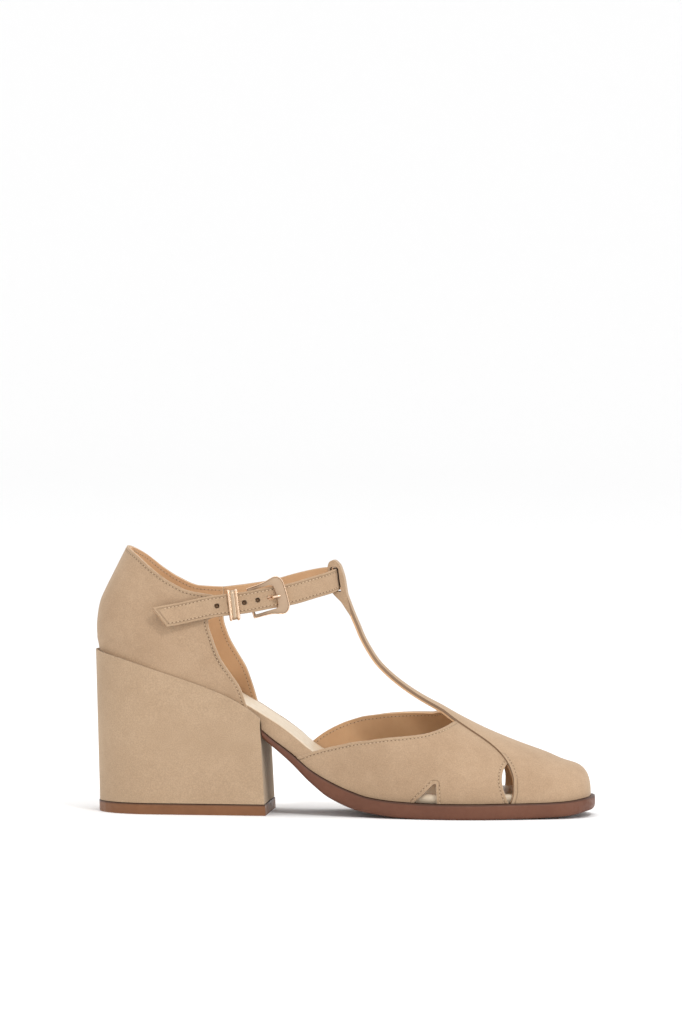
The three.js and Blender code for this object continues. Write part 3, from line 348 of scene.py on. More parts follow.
# Soft creases worked into the leather, in millimetres: the middle's x and z, the way
# they run in degrees, half-length, half-width and depth, and the side of the shoe
CREASES = (
    (-112, 84, -18, 16, 2.2, 0.34, LATERAL),
    (-104, 91, -25, 13, 2.6, -0.22, LATERAL),
    (-72, 76, -58, 15, 2.4, 0.3, LATERAL),
    (-66, 84, -60, 12, 2.2, 0.22, LATERAL),
    (-96, 101, 35, 12, 3, 0.2, LATERAL),
    (28, 30, 24, 22, 3, 0.3, LATERAL),
    (52, 24, 62, 9, 2.4, 0.24, LATERAL),
    (70, 27, -65, 10, 2.6, 0.22, LATERAL),
    (4, 29, 30, 14, 2.6, -0.2, LATERAL),
    (-108, 86, 15, 14, 2.4, 0.3, MEDIAL),
    (-70, 78, 55, 14, 2.4, 0.28, MEDIAL),
    (20, 30, 28, 20, 3, 0.3, MEDIAL),
    (46, 24, 60, 9, 2.4, 0.22, MEDIAL),
)
CREASE_BEND = 0.06  # how far a crease bows aside at its ends, as a share of its length


def crease_depth(point):
    """How far the leather sinks at a point, from the creases on that side."""
    depth = 0
    for x, z, angle, length, width, deep, side in CREASES:
        if side * point.y < 0:
            continue
        way = radians(angle)
        ahead = (point.x - x) * cos(way) + (point.z - z) * sin(way)
        aside = (point.z - z) * cos(way) - (point.x - x) * sin(way)
        aside += CREASE_BEND * length * (ahead / length) ** 2
        depth += deep * exp(-((aside / width) ** 2) - (ahead / length) ** 4)
    return depth


def leather(name, node, material, surface, size, depth, wall, seam=(), creased=False, rounding=0.3):
    """A sheet of leather laid on a surface, sunk by a depth and given its wall."""
    made = grid(size[0], size[1], surface)
    keep_seam(made, seam)
    face_out(made, from_foot)
    for vertex in made.verts:
        sink = depth + (crease_depth(vertex.co) if creased else 0)
        vertex.co = vertex.co - vertex.normal * sink
        vertex.co.z = max(vertex.co.z, feather(vertex.co.x))
    return finish_piece(made, name, material, node, wall, rounding)


def closed_piece(name, node, material, rows, ring, rounding=0, cap=True, sharp=50):
    """A solid whose section at each row is a ring of points, the first repeated at its end."""
    size = len(ring(0)) - 1
    rings = [ring(share) for share in steps(0, 1, rows)]
    made = grid(rows, size, lambda s, t: rings[round(s * rows)][round(t * size)])
    bmesh.ops.remove_doubles(made, verts=made.verts, dist=1e-4)
    if cap:
        open_edges = [edge for edge in made.edges if edge.is_boundary]
        bmesh.ops.holes_fill(made, edges=open_edges, sides=0)
    bmesh.ops.recalc_face_normals(made, faces=made.faces)
    keep_seam(made)
    return finish_piece(made, name, material, node, 0, rounding, sharp)


# %% [markdown]
# ## Finishes
#
# Nubuck is leather with its grain side sanded to a short nap: it has no gloss, a faint cloudy
# mottle where the nap lies one way or the other, and a fine tooth. The same group makes it on
# every piece, and its inputs set colour and strength. It also presses in the seam line, darkened
# there with painted shade, and pales the cut edge. A picture would repeat and smear; noise in object space
# doesn't.


# %% Helpers for node trees
def add(tree, kind, **settings):
    node = tree.nodes.new("ShaderNode" + kind)
    for name, value in settings.items():
        setattr(node, name, value)
    return node


def noise(tree, source, scale, detail, roughness=0.5):
    made = add(tree, "TexNoise")
    made.inputs["Scale"].default_value = scale
    made.inputs["Detail"].default_value = detail
    made.inputs["Roughness"].default_value = roughness
    tree.links.new(source, made.inputs["Vector"])
    return made.outputs["Fac"]


def spread(tree, source, low, high, to_low=0.0, to_high=1.0):
    """Maps a value between two limits, smoothly, onto two others."""
    made = add(tree, "MapRange", interpolation_type="SMOOTHSTEP")
    limits = {"From Min": low, "From Max": high, "To Min": to_low, "To Max": to_high}
    for name, value in limits.items():
        made.inputs[name].default_value = value
    tree.links.new(source, made.inputs["Value"])
    return made.outputs["Result"]


def maths(tree, operation, first, second=None):
    made = add(tree, "Math", operation=operation)
    for socket, value in zip(made.inputs, (first, second)):
        if value is None:
            continue
        if isinstance(value, (int, float)):
            socket.default_value = value
        else:
            tree.links.new(value, socket)
    return made.outputs[0]


def blend(tree, share, first, second, kind="MIX"):
    made = add(tree, "Mix", data_type="RGBA", blend_type=kind)
    for name, value in (("Factor", share), ("A", first), ("B", second)):
        sockets = [socket for socket in made.inputs if socket.name == name and socket.enabled]
        if hasattr(value, "is_output"):
            tree.links.new(value, sockets[0])
        else:
            sockets[0].default_value = value
    return [socket for socket in made.outputs if socket.enabled][0]


def group(name, inputs, outputs):
    """An empty node group with named sockets; returns the tree, its inputs and its outputs."""
    tree = bpy.data.node_groups.new(name, "ShaderNodeTree")
    for label, kind, value in inputs:
        socket = tree.interface.new_socket(label, in_out="INPUT", socket_type="NodeSocket" + kind)
        socket.default_value = value
    for label, kind in outputs:
        tree.interface.new_socket(label, in_out="OUTPUT", socket_type="NodeSocket" + kind)
    return tree, tree.nodes.new("NodeGroupInput"), tree.nodes.new("NodeGroupOutput")


# %% Node group: a line of sewing pressed into leather
SEAM_INSET = 1.7  # millimetres from the edge to the stitches


def make_sewn_edge():
    tree, given, result = group(
        "sewn edge",
        [("Color", "Color", (0.5, 0.4, 0.3, 1)), ("Edge pale", "Float", 0.3)],
        [("Color", "Color"), ("Height", "Float")],
    )
    distance = add(tree, "Attribute", attribute_name="seam_mm").outputs["Fac"]
    off_line = maths(tree, "ABSOLUTE", maths(tree, "SUBTRACT", distance, SEAM_INSET))
    line = spread(tree, off_line, 0.0, 0.45, 1, 0)
    rim = spread(tree, distance, 0.05, 0.5, 1, 0)
    # The stitch line is darkened towards dark brown: painted shade of the pressed groove.
    darkened = blend(tree, maths(tree, "MULTIPLY", line, 0.34), given.outputs["Color"], (0.16, 0.1, 0.055, 1))
    paled = maths(tree, "MULTIPLY", rim, given.outputs["Edge pale"])
    tree.links.new(blend(tree, paled, darkened, (0.6, 0.47, 0.34, 1)), result.inputs["Color"])
    sunk = maths(tree, "MULTIPLY", line, -0.8)
    tree.links.new(maths(tree, "ADD", sunk, maths(tree, "MULTIPLY", rim, -0.6)), result.inputs["Height"])
    return tree


sewn_edge = make_sewn_edge()


# %% Node group: the nap of nubuck
def make_nap():
    tree, given, result = group(
        "nubuck nap",
        [
            ("Color", "Color", (0.5, 0.4, 0.3, 1)),
            ("Shade", "Color", (0.4, 0.3, 0.2, 1)),
            ("Cloud", "Float", 0.5),
        ],
        [("Color", "Color"), ("Roughness", "Float"), ("Height", "Float")],
    )
    where = add(tree, "TexCoord").outputs["Object"]
    cloud = spread(tree, noise(tree, where, 34, 5, 0.62), 0.34, 0.68)
    brushed = spread(tree, noise(tree, where, 230, 4, 0.6), 0.34, 0.68)
    tooth = noise(tree, where, 1900, 3, 0.65)
    fine = noise(tree, where, 5200, 2, 0.6)
    patch = maths(tree, "MULTIPLY", cloud, given.outputs["Cloud"])
    shaded = blend(tree, patch, given.outputs["Color"], given.outputs["Shade"])
    flecked = blend(tree, maths(tree, "MULTIPLY", brushed, 0.22), shaded, given.outputs["Shade"])
    speck = spread(tree, tooth, 0.3, 0.72, 0.86, 1.1)
    grey = add(tree, "CombineColor")
    for name in ("Red", "Green", "Blue"):
        tree.links.new(speck, grey.inputs[name])
    tree.links.new(blend(tree, 1.0, flecked, grey.outputs["Color"], "MULTIPLY"), result.inputs["Color"])
    tree.links.new(spread(tree, brushed, 0, 1, 0.86, 0.98), result.inputs["Roughness"])
    height = maths(tree, "ADD", maths(tree, "MULTIPLY", tooth, 0.55), maths(tree, "MULTIPLY", fine, 0.35))
    tree.links.new(maths(tree, "ADD", height, maths(tree, "MULTIPLY", brushed, 0.5)), result.inputs["Height"])
    return tree


nap = make_nap()


# %% Node group: smooth leather with pores
def make_grain():
    tree, given, result = group(
        "leather grain",
        [("Color", "Color", (0.5, 0.3, 0.2, 1)), ("Shade", "Color", (0.4, 0.2, 0.1, 1))],
        [("Color", "Color"), ("Roughness", "Float"), ("Height", "Float")],
    )
    where = add(tree, "TexCoord").outputs["Object"]
    cloud = spread(tree, noise(tree, where, 55, 4, 0.55), 0.34, 0.7)
    pores = add(tree, "TexVoronoi", feature="DISTANCE_TO_EDGE")
    pores.inputs["Scale"].default_value = 1300
    tree.links.new(where, pores.inputs["Vector"])
    cells = spread(tree, pores.outputs["Distance"], 0.0, 0.16)
    rubbed = spread(tree, noise(tree, where, 420, 3), 0.3, 0.7)
    shaded = blend(tree, maths(tree, "MULTIPLY", cloud, 0.55), given.outputs["Color"], given.outputs["Shade"])
    worn = blend(tree, maths(tree, "MULTIPLY", rubbed, 0.14), shaded, given.outputs["Shade"])
    tree.links.new(worn, result.inputs["Color"])
    tree.links.new(spread(tree, rubbed, 0, 1, 0.42, 0.6), result.inputs["Roughness"])
    height = maths(tree, "ADD", maths(tree, "MULTIPLY", cells, 0.3), maths(tree, "MULTIPLY", rubbed, 0.4))
    tree.links.new(height, result.inputs["Height"])
    return tree


grain = make_grain()


# %% Materials from the groups
def new_material(name):
    material = bpy.data.materials.new(name)
    material.use_nodes = True
    tree = material.node_tree
    return material, tree, tree.nodes["Principled BSDF"]


def place_group(tree, made, **values):
    node = add(tree, "Group", node_tree=made)
    for name, value in values.items():
        node.inputs[name.replace("_", " ")].default_value = value
    return node


def bump_into(tree, shader, height, distance, strength=1.0):
    bump = add(tree, "Bump")
    bump.inputs["Distance"].default_value = distance * MM
    bump.inputs["Strength"].default_value = strength
    tree.links.new(height, bump.inputs["Height"])
    tree.links.new(bump.outputs["Normal"], shader.inputs["Normal"])


def make_nubuck(name, color, shade, cloud, edge_pale=0.35):
    material, tree, shader = new_material(name)
    fuzz = place_group(tree, nap, Color=(*color, 1), Shade=(*shade, 1), Cloud=cloud)
    sewn = place_group(tree, sewn_edge, Edge_pale=edge_pale)
    tree.links.new(fuzz.outputs["Color"], sewn.inputs["Color"])
    tree.links.new(sewn.outputs["Color"], shader.inputs["Base Color"])
    tree.links.new(fuzz.outputs["Roughness"], shader.inputs["Roughness"])
    height = maths(tree, "ADD", maths(tree, "MULTIPLY", fuzz.outputs["Height"], 0.1), sewn.outputs["Height"])
    bump_into(tree, shader, height, 0.35)
    shader.inputs["Specular IOR Level"].default_value = 0.12
    shader.inputs["Sheen Weight"].default_value = 0.22
    shader.inputs["Sheen Roughness"].default_value = 0.45
    shader.inputs["Sheen Tint"].default_value = (1.0, 0.9, 0.76, 1)
    return material


def make_smooth_leather(name, color, shade, bump=0.06, gloss=0.35, coat=0.0):
    material, tree, shader = new_material(name)
    skin = place_group(tree, grain, Color=(*color, 1), Shade=(*shade, 1))
    tree.links.new(skin.outputs["Color"], shader.inputs["Base Color"])
    tree.links.new(skin.outputs["Roughness"], shader.inputs["Roughness"])
    bump_into(tree, shader, skin.outputs["Height"], bump)
    shader.inputs["Specular IOR Level"].default_value = gloss
    shader.inputs["Coat Weight"].default_value = coat
    shader.inputs["Coat Roughness"].default_value = 0.3
    return material


def make_metal(name, color, roughness):
    material, tree, shader = new_material(name)
    where = add(tree, "TexCoord").outputs["Object"]
    haze = noise(tree, where, 900, 4, 0.6)
    tree.links.new(spread(tree, haze, 0.3, 0.7, roughness, roughness + 0.12), shader.inputs["Roughness"])
    bump_into(tree, shader, haze, 0.006)
    darker = [0.8 * value for value in color]
    tint = blend(tree, spread(tree, haze, 0.4, 0.75, 0, 0.3), (*color, 1), (*darker, 1))
    tree.links.new(tint, shader.inputs["Base Color"])
    shader.inputs["Metallic"].default_value = 1
    return material


nubuck = make_nubuck("sand nubuck", (0.408, 0.282, 0.182), (0.334, 0.222, 0.137), 0.6)
# The heel's nubuck is a copy of the upper's, made a little lighter: painted light on the heel.
heel_nubuck_painted_lighter = make_nubuck("heel nubuck painted lighter", (0.415, 0.293, 0.191), (0.356, 0.245, 0.155), 0.6, 0.15)
lining = make_smooth_leather("tan lining", (0.585, 0.36, 0.197), (0.5, 0.292, 0.153))
sock = make_smooth_leather("cream sock", (0.66, 0.55, 0.41), (0.58, 0.465, 0.325), 0.03, 0.5, 0.12)
thread = make_smooth_leather("sewing thread", (0.53, 0.39, 0.265), (0.46, 0.33, 0.212), 0.05, 0.2)
# Painted shade: this dark colour stands for the shade in needle holes, in the strap's holes and in the
# buckle's groove.
painted_recess_shade = make_smooth_leather("painted recess shade", (0.19, 0.12, 0.072), (0.15, 0.09, 0.052), 0.0, 0.1)
# Dark brown for the toe piece's cut edges: partly the leather's own edge colour, partly painted shade of the
# step down to the panels.
cut_edge_with_shade = make_smooth_leather("cut edge", (0.25, 0.16, 0.1), (0.2, 0.125, 0.075), 0.02, 0.2)
gold = make_metal("rose gold", (0.86, 0.63, 0.45), 0.16)
brushed = make_metal("brushed gold", (0.5, 0.38, 0.27), 0.3)
inlay = make_smooth_leather("buckle inlay", (0.38, 0.265, 0.175), (0.34, 0.23, 0.15), 0.02, 0.3)


def make_sole_edge(name, color, shade):
    """Stacked sole leather: a dark joint line at its top and a waxed sheen."""
    material, tree, shader = new_material(name)
    skin = place_group(tree, grain, Color=(*color, 1), Shade=(*shade, 1))
    down = add(tree, "Attribute", attribute_name="seam_mm").outputs["Fac"]
    joint = spread(tree, down, 0.25, 0.95, 1, 0)
    lined = blend(tree, maths(tree, "MULTIPLY", joint, 0.72), skin.outputs["Color"], (0.05, 0.022, 0.012, 1))
    tree.links.new(lined, shader.inputs["Base Color"])
    tree.links.new(skin.outputs["Roughness"], shader.inputs["Roughness"])
    height = maths(tree, "SUBTRACT", maths(tree, "MULTIPLY", skin.outputs["Height"], 0.15), joint)
    bump_into(tree, shader, height, 0.2)
    shader.inputs["Specular IOR Level"].default_value = 0.3
    return material


sole_leather = make_sole_edge("sole edge", (0.135, 0.05, 0.026), (0.098, 0.034, 0.018))
tip_leather = make_sole_edge("tip edge", (0.2, 0.085, 0.035), (0.15, 0.06, 0.025))
print("Materials:", [material.name for material in bpy.data.materials if material.use_nodes])

# %% [markdown]
# ## The quarter
#
# The quarter is the leather round the heel of the foot, in one piece from one front edge to
# the other. It is a patch between four curves: the feather edge, the collar, and the back on
# one side and a front edge on the other. An outer skin of nubuck and a smooth lining make up
# its thickness, so that the collar shows two edges, as on the real shoe.

# %% The quarter's patch
QUARTER_WALL = 2.4
SKIN = 1.25  # thickness of the outer leather
BACK_CROWD = 1.8
COLLAR_AT, COLLAR_OUTER, COLLAR_INNER = columns(
    (0.0612, 1, 1),
    (0.088, 0.927, 0.918),
    (0.124, 0.804, 0.79),
    (0.153, 0.717, 0.71),
    (0.197, 0.626, 0.636),
    (0.24, 0.594, 0.629),
    (0.27, 0.57, 0.634),
)
FRONT_HEIGHT, FRONT_OUTER, FRONT_INNER = columns(
    (-0.542, 0.328, 0.326),
    (-0.353, 0.3116, 0.3144),
    (-0.215, 0.3004, 0.3044),
    (-0.072, 0.278, 0.2916),
    (0.044, 0.26, 0.2752),
    (0.2, 0.2456, 0.2552),
    (0.364, 0.2348, 0.2444),
    (0.463, 0.2352, 0.244),
    (0.6, 0.246, 0.2448),
)
BREAST = -40.1
collar_height = {LATERAL: smooth(COLLAR_AT, COLLAR_OUTER), MEDIAL: smooth(COLLAR_AT, COLLAR_INNER)}
front_edge = {LATERAL: smooth(FRONT_HEIGHT, FRONT_OUTER), MEDIAL: smooth(FRONT_HEIGHT, FRONT_INNER)}


def edge_x(z, side):
    return place(front_edge[side]((z - BACK_SEAT) / BACK_RISE))


def front_foot(side):
    """Where the front edge meets the feather edge, closed in on step by step."""
    x = BREAST
    for _ in range(12):
        x = edge_x(feather(x), side)
    return x


FRONT_FOOT = {side: front_foot(side) for side in (LATERAL, MEDIAL)}


def quarter_point(aside, up):
    side = LATERAL if aside < 0 else MEDIAL
    share = abs(aside) ** BACK_CROWD

    def collar_z(x):
        return back_height(collar_height[side](share_at(x)))

    low_back, high_back = back_curve(BACK_SEAT), back_curve(back_height(1))
    low_front, high_front = FRONT_FOOT[side], edge_x(back_height(1), side)
    back_z = lerp(feather(low_back), back_height(1), up)
    front_z = lerp(feather(low_front), collar_z(high_front), up)
    low_x = lerp(low_back, low_front, share)
    high_x = lerp(high_back, high_front, share)

    def patch(bottom, top, back, front, corners):
        twice = lerp(lerp(corners[0], corners[1], share), lerp(corners[2], corners[3], share), up)
        return lerp(bottom, top, up) + lerp(back, front, share) - twice

    corners_x = (low_back, low_front, high_back, high_front)
    corners_z = (feather(low_back), feather(low_front), back_height(1), collar_z(high_front))
    x = patch(low_x, high_x, back_curve(back_z), edge_x(front_z, side), corners_x)
    z = patch(feather(low_x), collar_z(high_x), back_z, front_z, corners_z)
    return beside_foot(x, z, side)


def quarter_sheet(s, t):
    return quarter_point(lerp(-1, 1, s), t)


quarter_seam = [quarter_point(aside, 1) for aside in steps(-1, 1, 240)]
quarter_seam += [quarter_point(aside, up) for aside in (-1, 1) for up in steps(0, 1, 80)]
leather("quarter", "upper", nubuck, quarter_sheet, (132, 40), 0, SKIN, quarter_seam, creased=True)
leather("quarter_lining", "upper", lining, quarter_sheet, (120, 24), SKIN, QUARTER_WALL - SKIN)
print("Quarter's front edge meets the feather edge at x =", FRONT_FOOT)

# %% [markdown]
# ## Toe piece, T-bar and side panels
#
# The toe piece runs from the toe up the ridge of the foot and on as the T-bar, which ends in
# a loop for the strap. The side panels are sewn under it, a step lower, and are cut out at the
# sole and beside the toe. The toe piece is one sheet whose rows cross the ridge, and each panel
# one sheet of columns from the sole to its topline.

# %% The T-bar and the toe piece
TOE_WALL = 2.7
TOE_SKIN = 1.4  # thickness of the toe piece's nubuck, and of its lining
TOE_LINING = 0.8
T_BAR_WIDTH = 11
T_BAR_CROWN = 0.95
T_BAR = columns(
    (1, 1, 0.5, 0.5),
    (0.972, 0.93, 0.5, 0.5),
    (0.903, 0.78, 0.5, 0.5),
    (0.851, 0.681, 0.5, 0.5),
    (0.801, 0.582, 0.5, 0.5),
    (0.736, 0.483, 0.5, 0.5),
    (0.656, 0.384, 0.51, 0.51),
    (0.539, 0.285, 0.54, 0.54),
    (0.388, 0.186, 0.6, 0.6),
    (0.209, 0.092, 0.7, 0.69),
    (0.05, 0.023, 0.82, 0.75),
    (0, 0, 0.86, 0.77),
)
TOE_PIECE = columns(
    (0, 0, 0.13, 0, 0.13),
    (0.082, 0.082, 0.182, 0.055, 0.19),
    (0.179, 0.179, 0.232, 0.137, 0.25),
    (0.275, 0.282, 0.291, 0.22, 0.33),
    (0.357, 0.364, 0.369, 0.302, 0.44),
    (0.426, 0.433, 0.481, 0.356, 0.57),
    (0.481, 0.478, 0.607, 0.39, 0.7),
    (0.529, 0.501, 0.745, 0.399, 0.8),
    (0.563, 0.503, 0.878, 0.396, 0.9),
    (0.604, 0.486, 1, 0.382, 1),
    (0.687, 0.659, 1, 0.575, 1),
    (0.77, 0.75, 1, 0.7, 1),
    (0.852, 0.824, 1, 0.824, 1),
    (0.92, 0.9, 1, 0.9, 1),
    (0.964, 0.951, 1, 0.951, 1),
    (0.988, 0.979, 1, 0.979, 1),
    (0.997, 0.995, 1, 0.995, 1),
    (1, 1, 1, 1, 1),
)
bar_run, bar_rise, bar_outer, bar_inner = [by_row(column) for column in T_BAR]
toe_ridge, toe_outer, toe_outer_turn, toe_inner, toe_inner_turn = [by_row(c) for c in TOE_PIECE]
T_ROWS = len(T_BAR[0]) - 1
FOREPART_ROWS = T_ROWS + len(TOE_PIECE[0]) - 1
SEWN_ROW = T_ROWS + 4.8  # where the stitches beside the slit begin
SLIT_ROW = T_ROWS + 9  # where the toe piece's rear edge reaches the sole
STRAP_FRONT = Vector((place(0.4828), 0, back_height(0.7255)))
T_FOOT = place(0.7)
T_FOOT_Z = feather(T_FOOT) + ridge_rise(T_FOOT)
T_HEAD = (STRAP_FRONT.x + 4, STRAP_FRONT.z - 3.5)
CROWN_ROWS = 3


def bar_line(row):
    x = lerp(T_FOOT, T_HEAD[0], bar_run(row))
    return Vector((x, ridge_line(x), lerp(T_FOOT_Z, T_HEAD[1], bar_rise(row))))


def bar_point(row, aside):
    middle = bar_line(row)
    ahead = bar_line(min(row + 0.01, T_ROWS)) - bar_line(max(row - 0.01, 0))
    inward = Vector((ahead.z, 0, -ahead.x)).normalized()
    upright = clamp(1 - (T_ROWS - row) / CROWN_ROWS)
    inward = inward.lerp(Vector((0, 0, -1)), upright).normalized()
    half = T_BAR_WIDTH * (bar_outer if aside < 0 else bar_inner)(row)
    drop = T_BAR_CROWN * (aside * half / (T_BAR_WIDTH * T_BAR[2][-1])) ** 2
    middle.y += aside * half
    return middle + inward * drop


def toe_point(row, aside):
    side = LATERAL if aside < 0 else MEDIAL
    edge, turning = (toe_outer, toe_outer_turn) if aside < 0 else (toe_inner, toe_inner_turn)
    share = lerp(toe_ridge(row), edge(row), aside * aside)
    return on_last(lerp(T_FOOT, TOE_END, share), abs(aside) * turning(row), side)


def forepart_point(s, t):
    row = s * FOREPART_ROWS
    aside = lerp(-1, 1, t)
    return bar_point(row, aside) if row <= T_ROWS else toe_point(row - T_ROWS, aside)


slit_rows = steps(SEWN_ROW, SLIT_ROW, 60)
slit_edges = [forepart_point(row / FOREPART_ROWS, end) for end in (0, 1) for row in slit_rows]
toe_size = (6 * FOREPART_ROWS, 44)
toe = leather("toe_piece", "upper", nubuck, forepart_point, toe_size, 0, TOE_SKIN, slit_edges, creased=True)
# The toe piece's edge walls take the dark cut edge colour, which also paints the shade at its step.
toe.data.materials.append(cut_edge_with_shade)
toe.modifiers["wall"].material_offset_rim = 1
lining_size = (3 * FOREPART_ROWS, 22)
leather("toe_lining", "upper", lining, forepart_point, lining_size, TOE_SKIN, TOE_LINING)
print("The T-bar's head is at", T_HEAD, "and its foot at x =", T_FOOT)

# %% The side panels
PANEL_STEP = 0.9
PANEL_SKIN = 0.85  # thickness of a panel's nubuck, and of its lining
PANEL_LINING = 0.75
SLIT_BOW = 4.4
# Columns: foot as a share of the length, lift of a cut-out, top, its height over the feather
# edge, bow. Lift and height are shares of VAMP_HEIGHT.
PANELS = {
    LATERAL: columns(
        (0.412, 0, 0.415, 0.0273, 0),
        (0.438, 0, 0.441, 0.2113, 0),
        (0.463, 0, 0.463, 0.3292, 0),
        (0.5, 0, 0.5, 0.4909, 0),
        (0.541, 0, 0.541, 0.6312, 0),
        (0.597, 0, 0.597, 0.736, 0),
        (0.632, 0, 0.632, 0.7716, 0),
        (0.649, 0, 0.655, 0.7948, 0),
        (0.669, 0.12, 0.672, 0.8172, 0),
        (0.688, 0.235, 0.692, 0.8553, 0),
        (0.693, 0.235, 0.702, 0.8803, 0),
        (0.6945, 0, 0.711, 0.9041, 0),
        (0.715, 0, 0.728, 0.9482, 0),
        (0.74, 0, 0.755, 0.8772, 0),
        (0.765, 0, 0.785, 0.7852, 0),
        (0.79, 0, 0.81, 0.699, 0.15),
        (0.815, 0, 0.83, 0.6201, 0.6),
        (0.837, 0, 0.845, 0.5441, 1),
    ),
    MEDIAL: columns(
        (0.404, 0, 0.412, 0.0416, 0),
        (0.424, 0, 0.426, 0.1886, 0),
        (0.439, 0, 0.439, 0.3116, 0),
        (0.459, 0, 0.459, 0.4674, 0),
        (0.5, 0, 0.5, 0.701, 0),
        (0.54, 0, 0.54, 0.8521, 0),
        (0.58, 0, 0.58, 0.9358, 0),
        (0.609, 0, 0.606, 0.9681, 0),
        (0.629, 0.12, 0.628, 0.9863, 0),
        (0.648, 0.235, 0.648, 0.9983, 0),
        (0.653, 0.235, 0.66, 1.0043, 0),
        (0.6545, 0, 0.672, 1.0093, 0),
        (0.675, 0, 0.692, 1.0396, 0),
        (0.7, 0, 0.72, 0.9811, 0),
        (0.727, 0, 0.752, 0.8877, 0),
        (0.756, 0, 0.781, 0.7939, 0.15),
        (0.784, 0, 0.804, 0.6967, 0.6),
        (0.8075, 0, 0.8155, 0.6078, 1),
    ),
}
PANEL_COLUMNS = len(PANELS[LATERAL][0]) - 1
NOTCH = (7, 11)  # the columns of the cut-out at the sole
TOPLINE_END = 12  # the column from which the toe piece covers the topline


def panel_surface(side):
    foot, lift, top, top_height, bow = PANELS[side]
    foot, lift, bow = straight(foot), straight(lift), straight(bow)
    top, top_height = by_row(top), by_row(top_height)

    def point(s, t):
        column = s * PANEL_COLUMNS
        foot_x = place(foot(column))
        foot_turn = turn_at(foot_x, feather(foot_x) + VAMP_HEIGHT * lift(column))
        back = bow(column) * SLIT_BOW * sin(pi * t)
        top_x = place(top(column))
        top_turn = turn_at(top_x, feather(top_x) + VAMP_HEIGHT * top_height(column))
        return on_last(lerp(foot_x, top_x, t) - back, lerp(foot_turn, top_turn, t), side)

    return point


for side, label in SIDES:
    panel = panel_surface(side)
    topline = [panel(column / PANEL_COLUMNS, 1) for column in steps(0, TOPLINE_END, 120)]
    notch = [panel(column / PANEL_COLUMNS, 0) for column in steps(NOTCH[0], NOTCH[1], 60)]
    seam = topline + notch + [panel(1, up) for up in steps(0, 1, 60)]
    size, lining_size = (8 * PANEL_COLUMNS, 30), (4 * PANEL_COLUMNS, 20)
    below = PANEL_STEP + PANEL_SKIN
    leather(label + "_panel", "upper", nubuck, panel, size, PANEL_STEP, PANEL_SKIN, seam, creased=True)
    leather(label + "_panel_lining", "upper", lining, panel, lining_size, below, PANEL_LINING)
    print(label, "panel: topline from", topline[0].to_tuple(1), "to", topline[-1].to_tuple(1))

# %% [markdown]
# ## The strips along the waist
#
# Between quarter and panels the insole's edge is bare, so a narrow strip of nubuck covers it.
# It is the same kind of sheet, which follows the feather edge and gets lower where the quarter
# takes over, so that the sock shows above it.

# %% The waist strips
RAND_STEP = 1.2
RAND_WALL = 1.4
RAND_HEIGHT = 9.2
RAND_START = 0.26  # its ends as shares of the length
RAND_END = 0.52
# Share of the shoe's length, and the strip's height there as a share of RAND_HEIGHT
rand_rise = smooth([RAND_START, 0.31, 0.38, RAND_END], [0.62, 0.68, 1, 1])


def rand_surface(side):
    def point(s, t):
        x = lerp(place(RAND_START), place(RAND_END), s)
        height = RAND_HEIGHT * rand_rise(share_at(x))
        return on_last(x, turn_at(x, feather(x) + height * t), side)

    return point


for side, label in SIDES:
    leather(label + "_waist_strip", "upper", nubuck, rand_surface(side), (48, 8), RAND_STEP, RAND_WALL)

# %% [markdown]
# ## Insole, sole and heel
#
# The sock covers the insole and is the pale floor of the shoe. The sole's edge is trimmed and
# waxed, with a dark joint line under the upper. The heel is a block covered with nubuck, whose
# top is a shallow cup. All of them follow the feather edge, so one function gives its plan.


# %% The plan of the feather edge
def plan_point(share, side):
    x = lerp(back_curve(BACK_SEAT), TOE_END, (1 - cos(pi * share)) / 2)
    return on_last(x, 1, side)


def plan_edge(share, side, margin):
    way = plan_point(min(share + 0.001, 1), side) - plan_point(max(share - 0.001, 0), side)
    way.z = 0
    way.normalize()
    return plan_point(share, side) + Vector((-way.y, way.x, 0)) * side * margin


def across(left, right, count, dish=0):
    """Points between two others, sunk in the middle."""
    points = []
    for share in steps(0, 1, count)[1:-1]:
        point = left.lerp(right, share)
        point.z -= dish * sin(pi * share) ** 0.8
        points.append(point)
    return points


# %% The insole with its sock
INSOLE_ROUND = 1.4
SOCK = 0.7  # thickness of the sock on top of the insole
INSOLE_SLACK = 0.2
INSOLE_DISH = 0.3  # the foot's bed sinks this much in the middle
INSOLE_AT, INSOLE_THICK = columns(
    (0, 0.6), (0.3, 0.62), (0.38, 0.95), (0.48, 0.95), (0.56, 0.6), (0.66, 0.4), (1, 0.38)
)
insole_thick = smooth(INSOLE_AT, INSOLE_THICK)


def insole_ring(share):
    inset = -(TOE_WALL + GAP + INSOLE_SLACK)
    top = feather(plan_point(share, LATERAL).x)
    top += RAND_HEIGHT * insole_thick(share_at(plan_point(share, LATERAL).x)) + SOCK

    def one_side(side):
        points = []
        for turn in (0, 0.5, 1):
            edge = plan_edge(share, side, inset - INSOLE_ROUND * (1 - cos(turn * pi / 2)))
            low = feather(edge.x)
            edge.z = lerp(low, top - INSOLE_ROUND * (1 - sin(turn * pi / 2)), clamp(turn * 2))
            points.append(edge)
        return points

    outer, inner = one_side(LATERAL), one_side(MEDIAL)
    bed = across(outer[-1], inner[-1], 12, INSOLE_DISH)
    return outer + bed + inner[::-1] + [outer[0]]


insole = closed_piece("sock_and_insole", "insole", sock, 110, insole_ring)
insole.data.materials.append(nubuck)
sides = [face for face in insole.data.polygons if face.normal.z < 0.1]
for face in sides:
    face.material_index = 1
print("The insole has", len(sides), "faces in the wrapped leather of its sides")

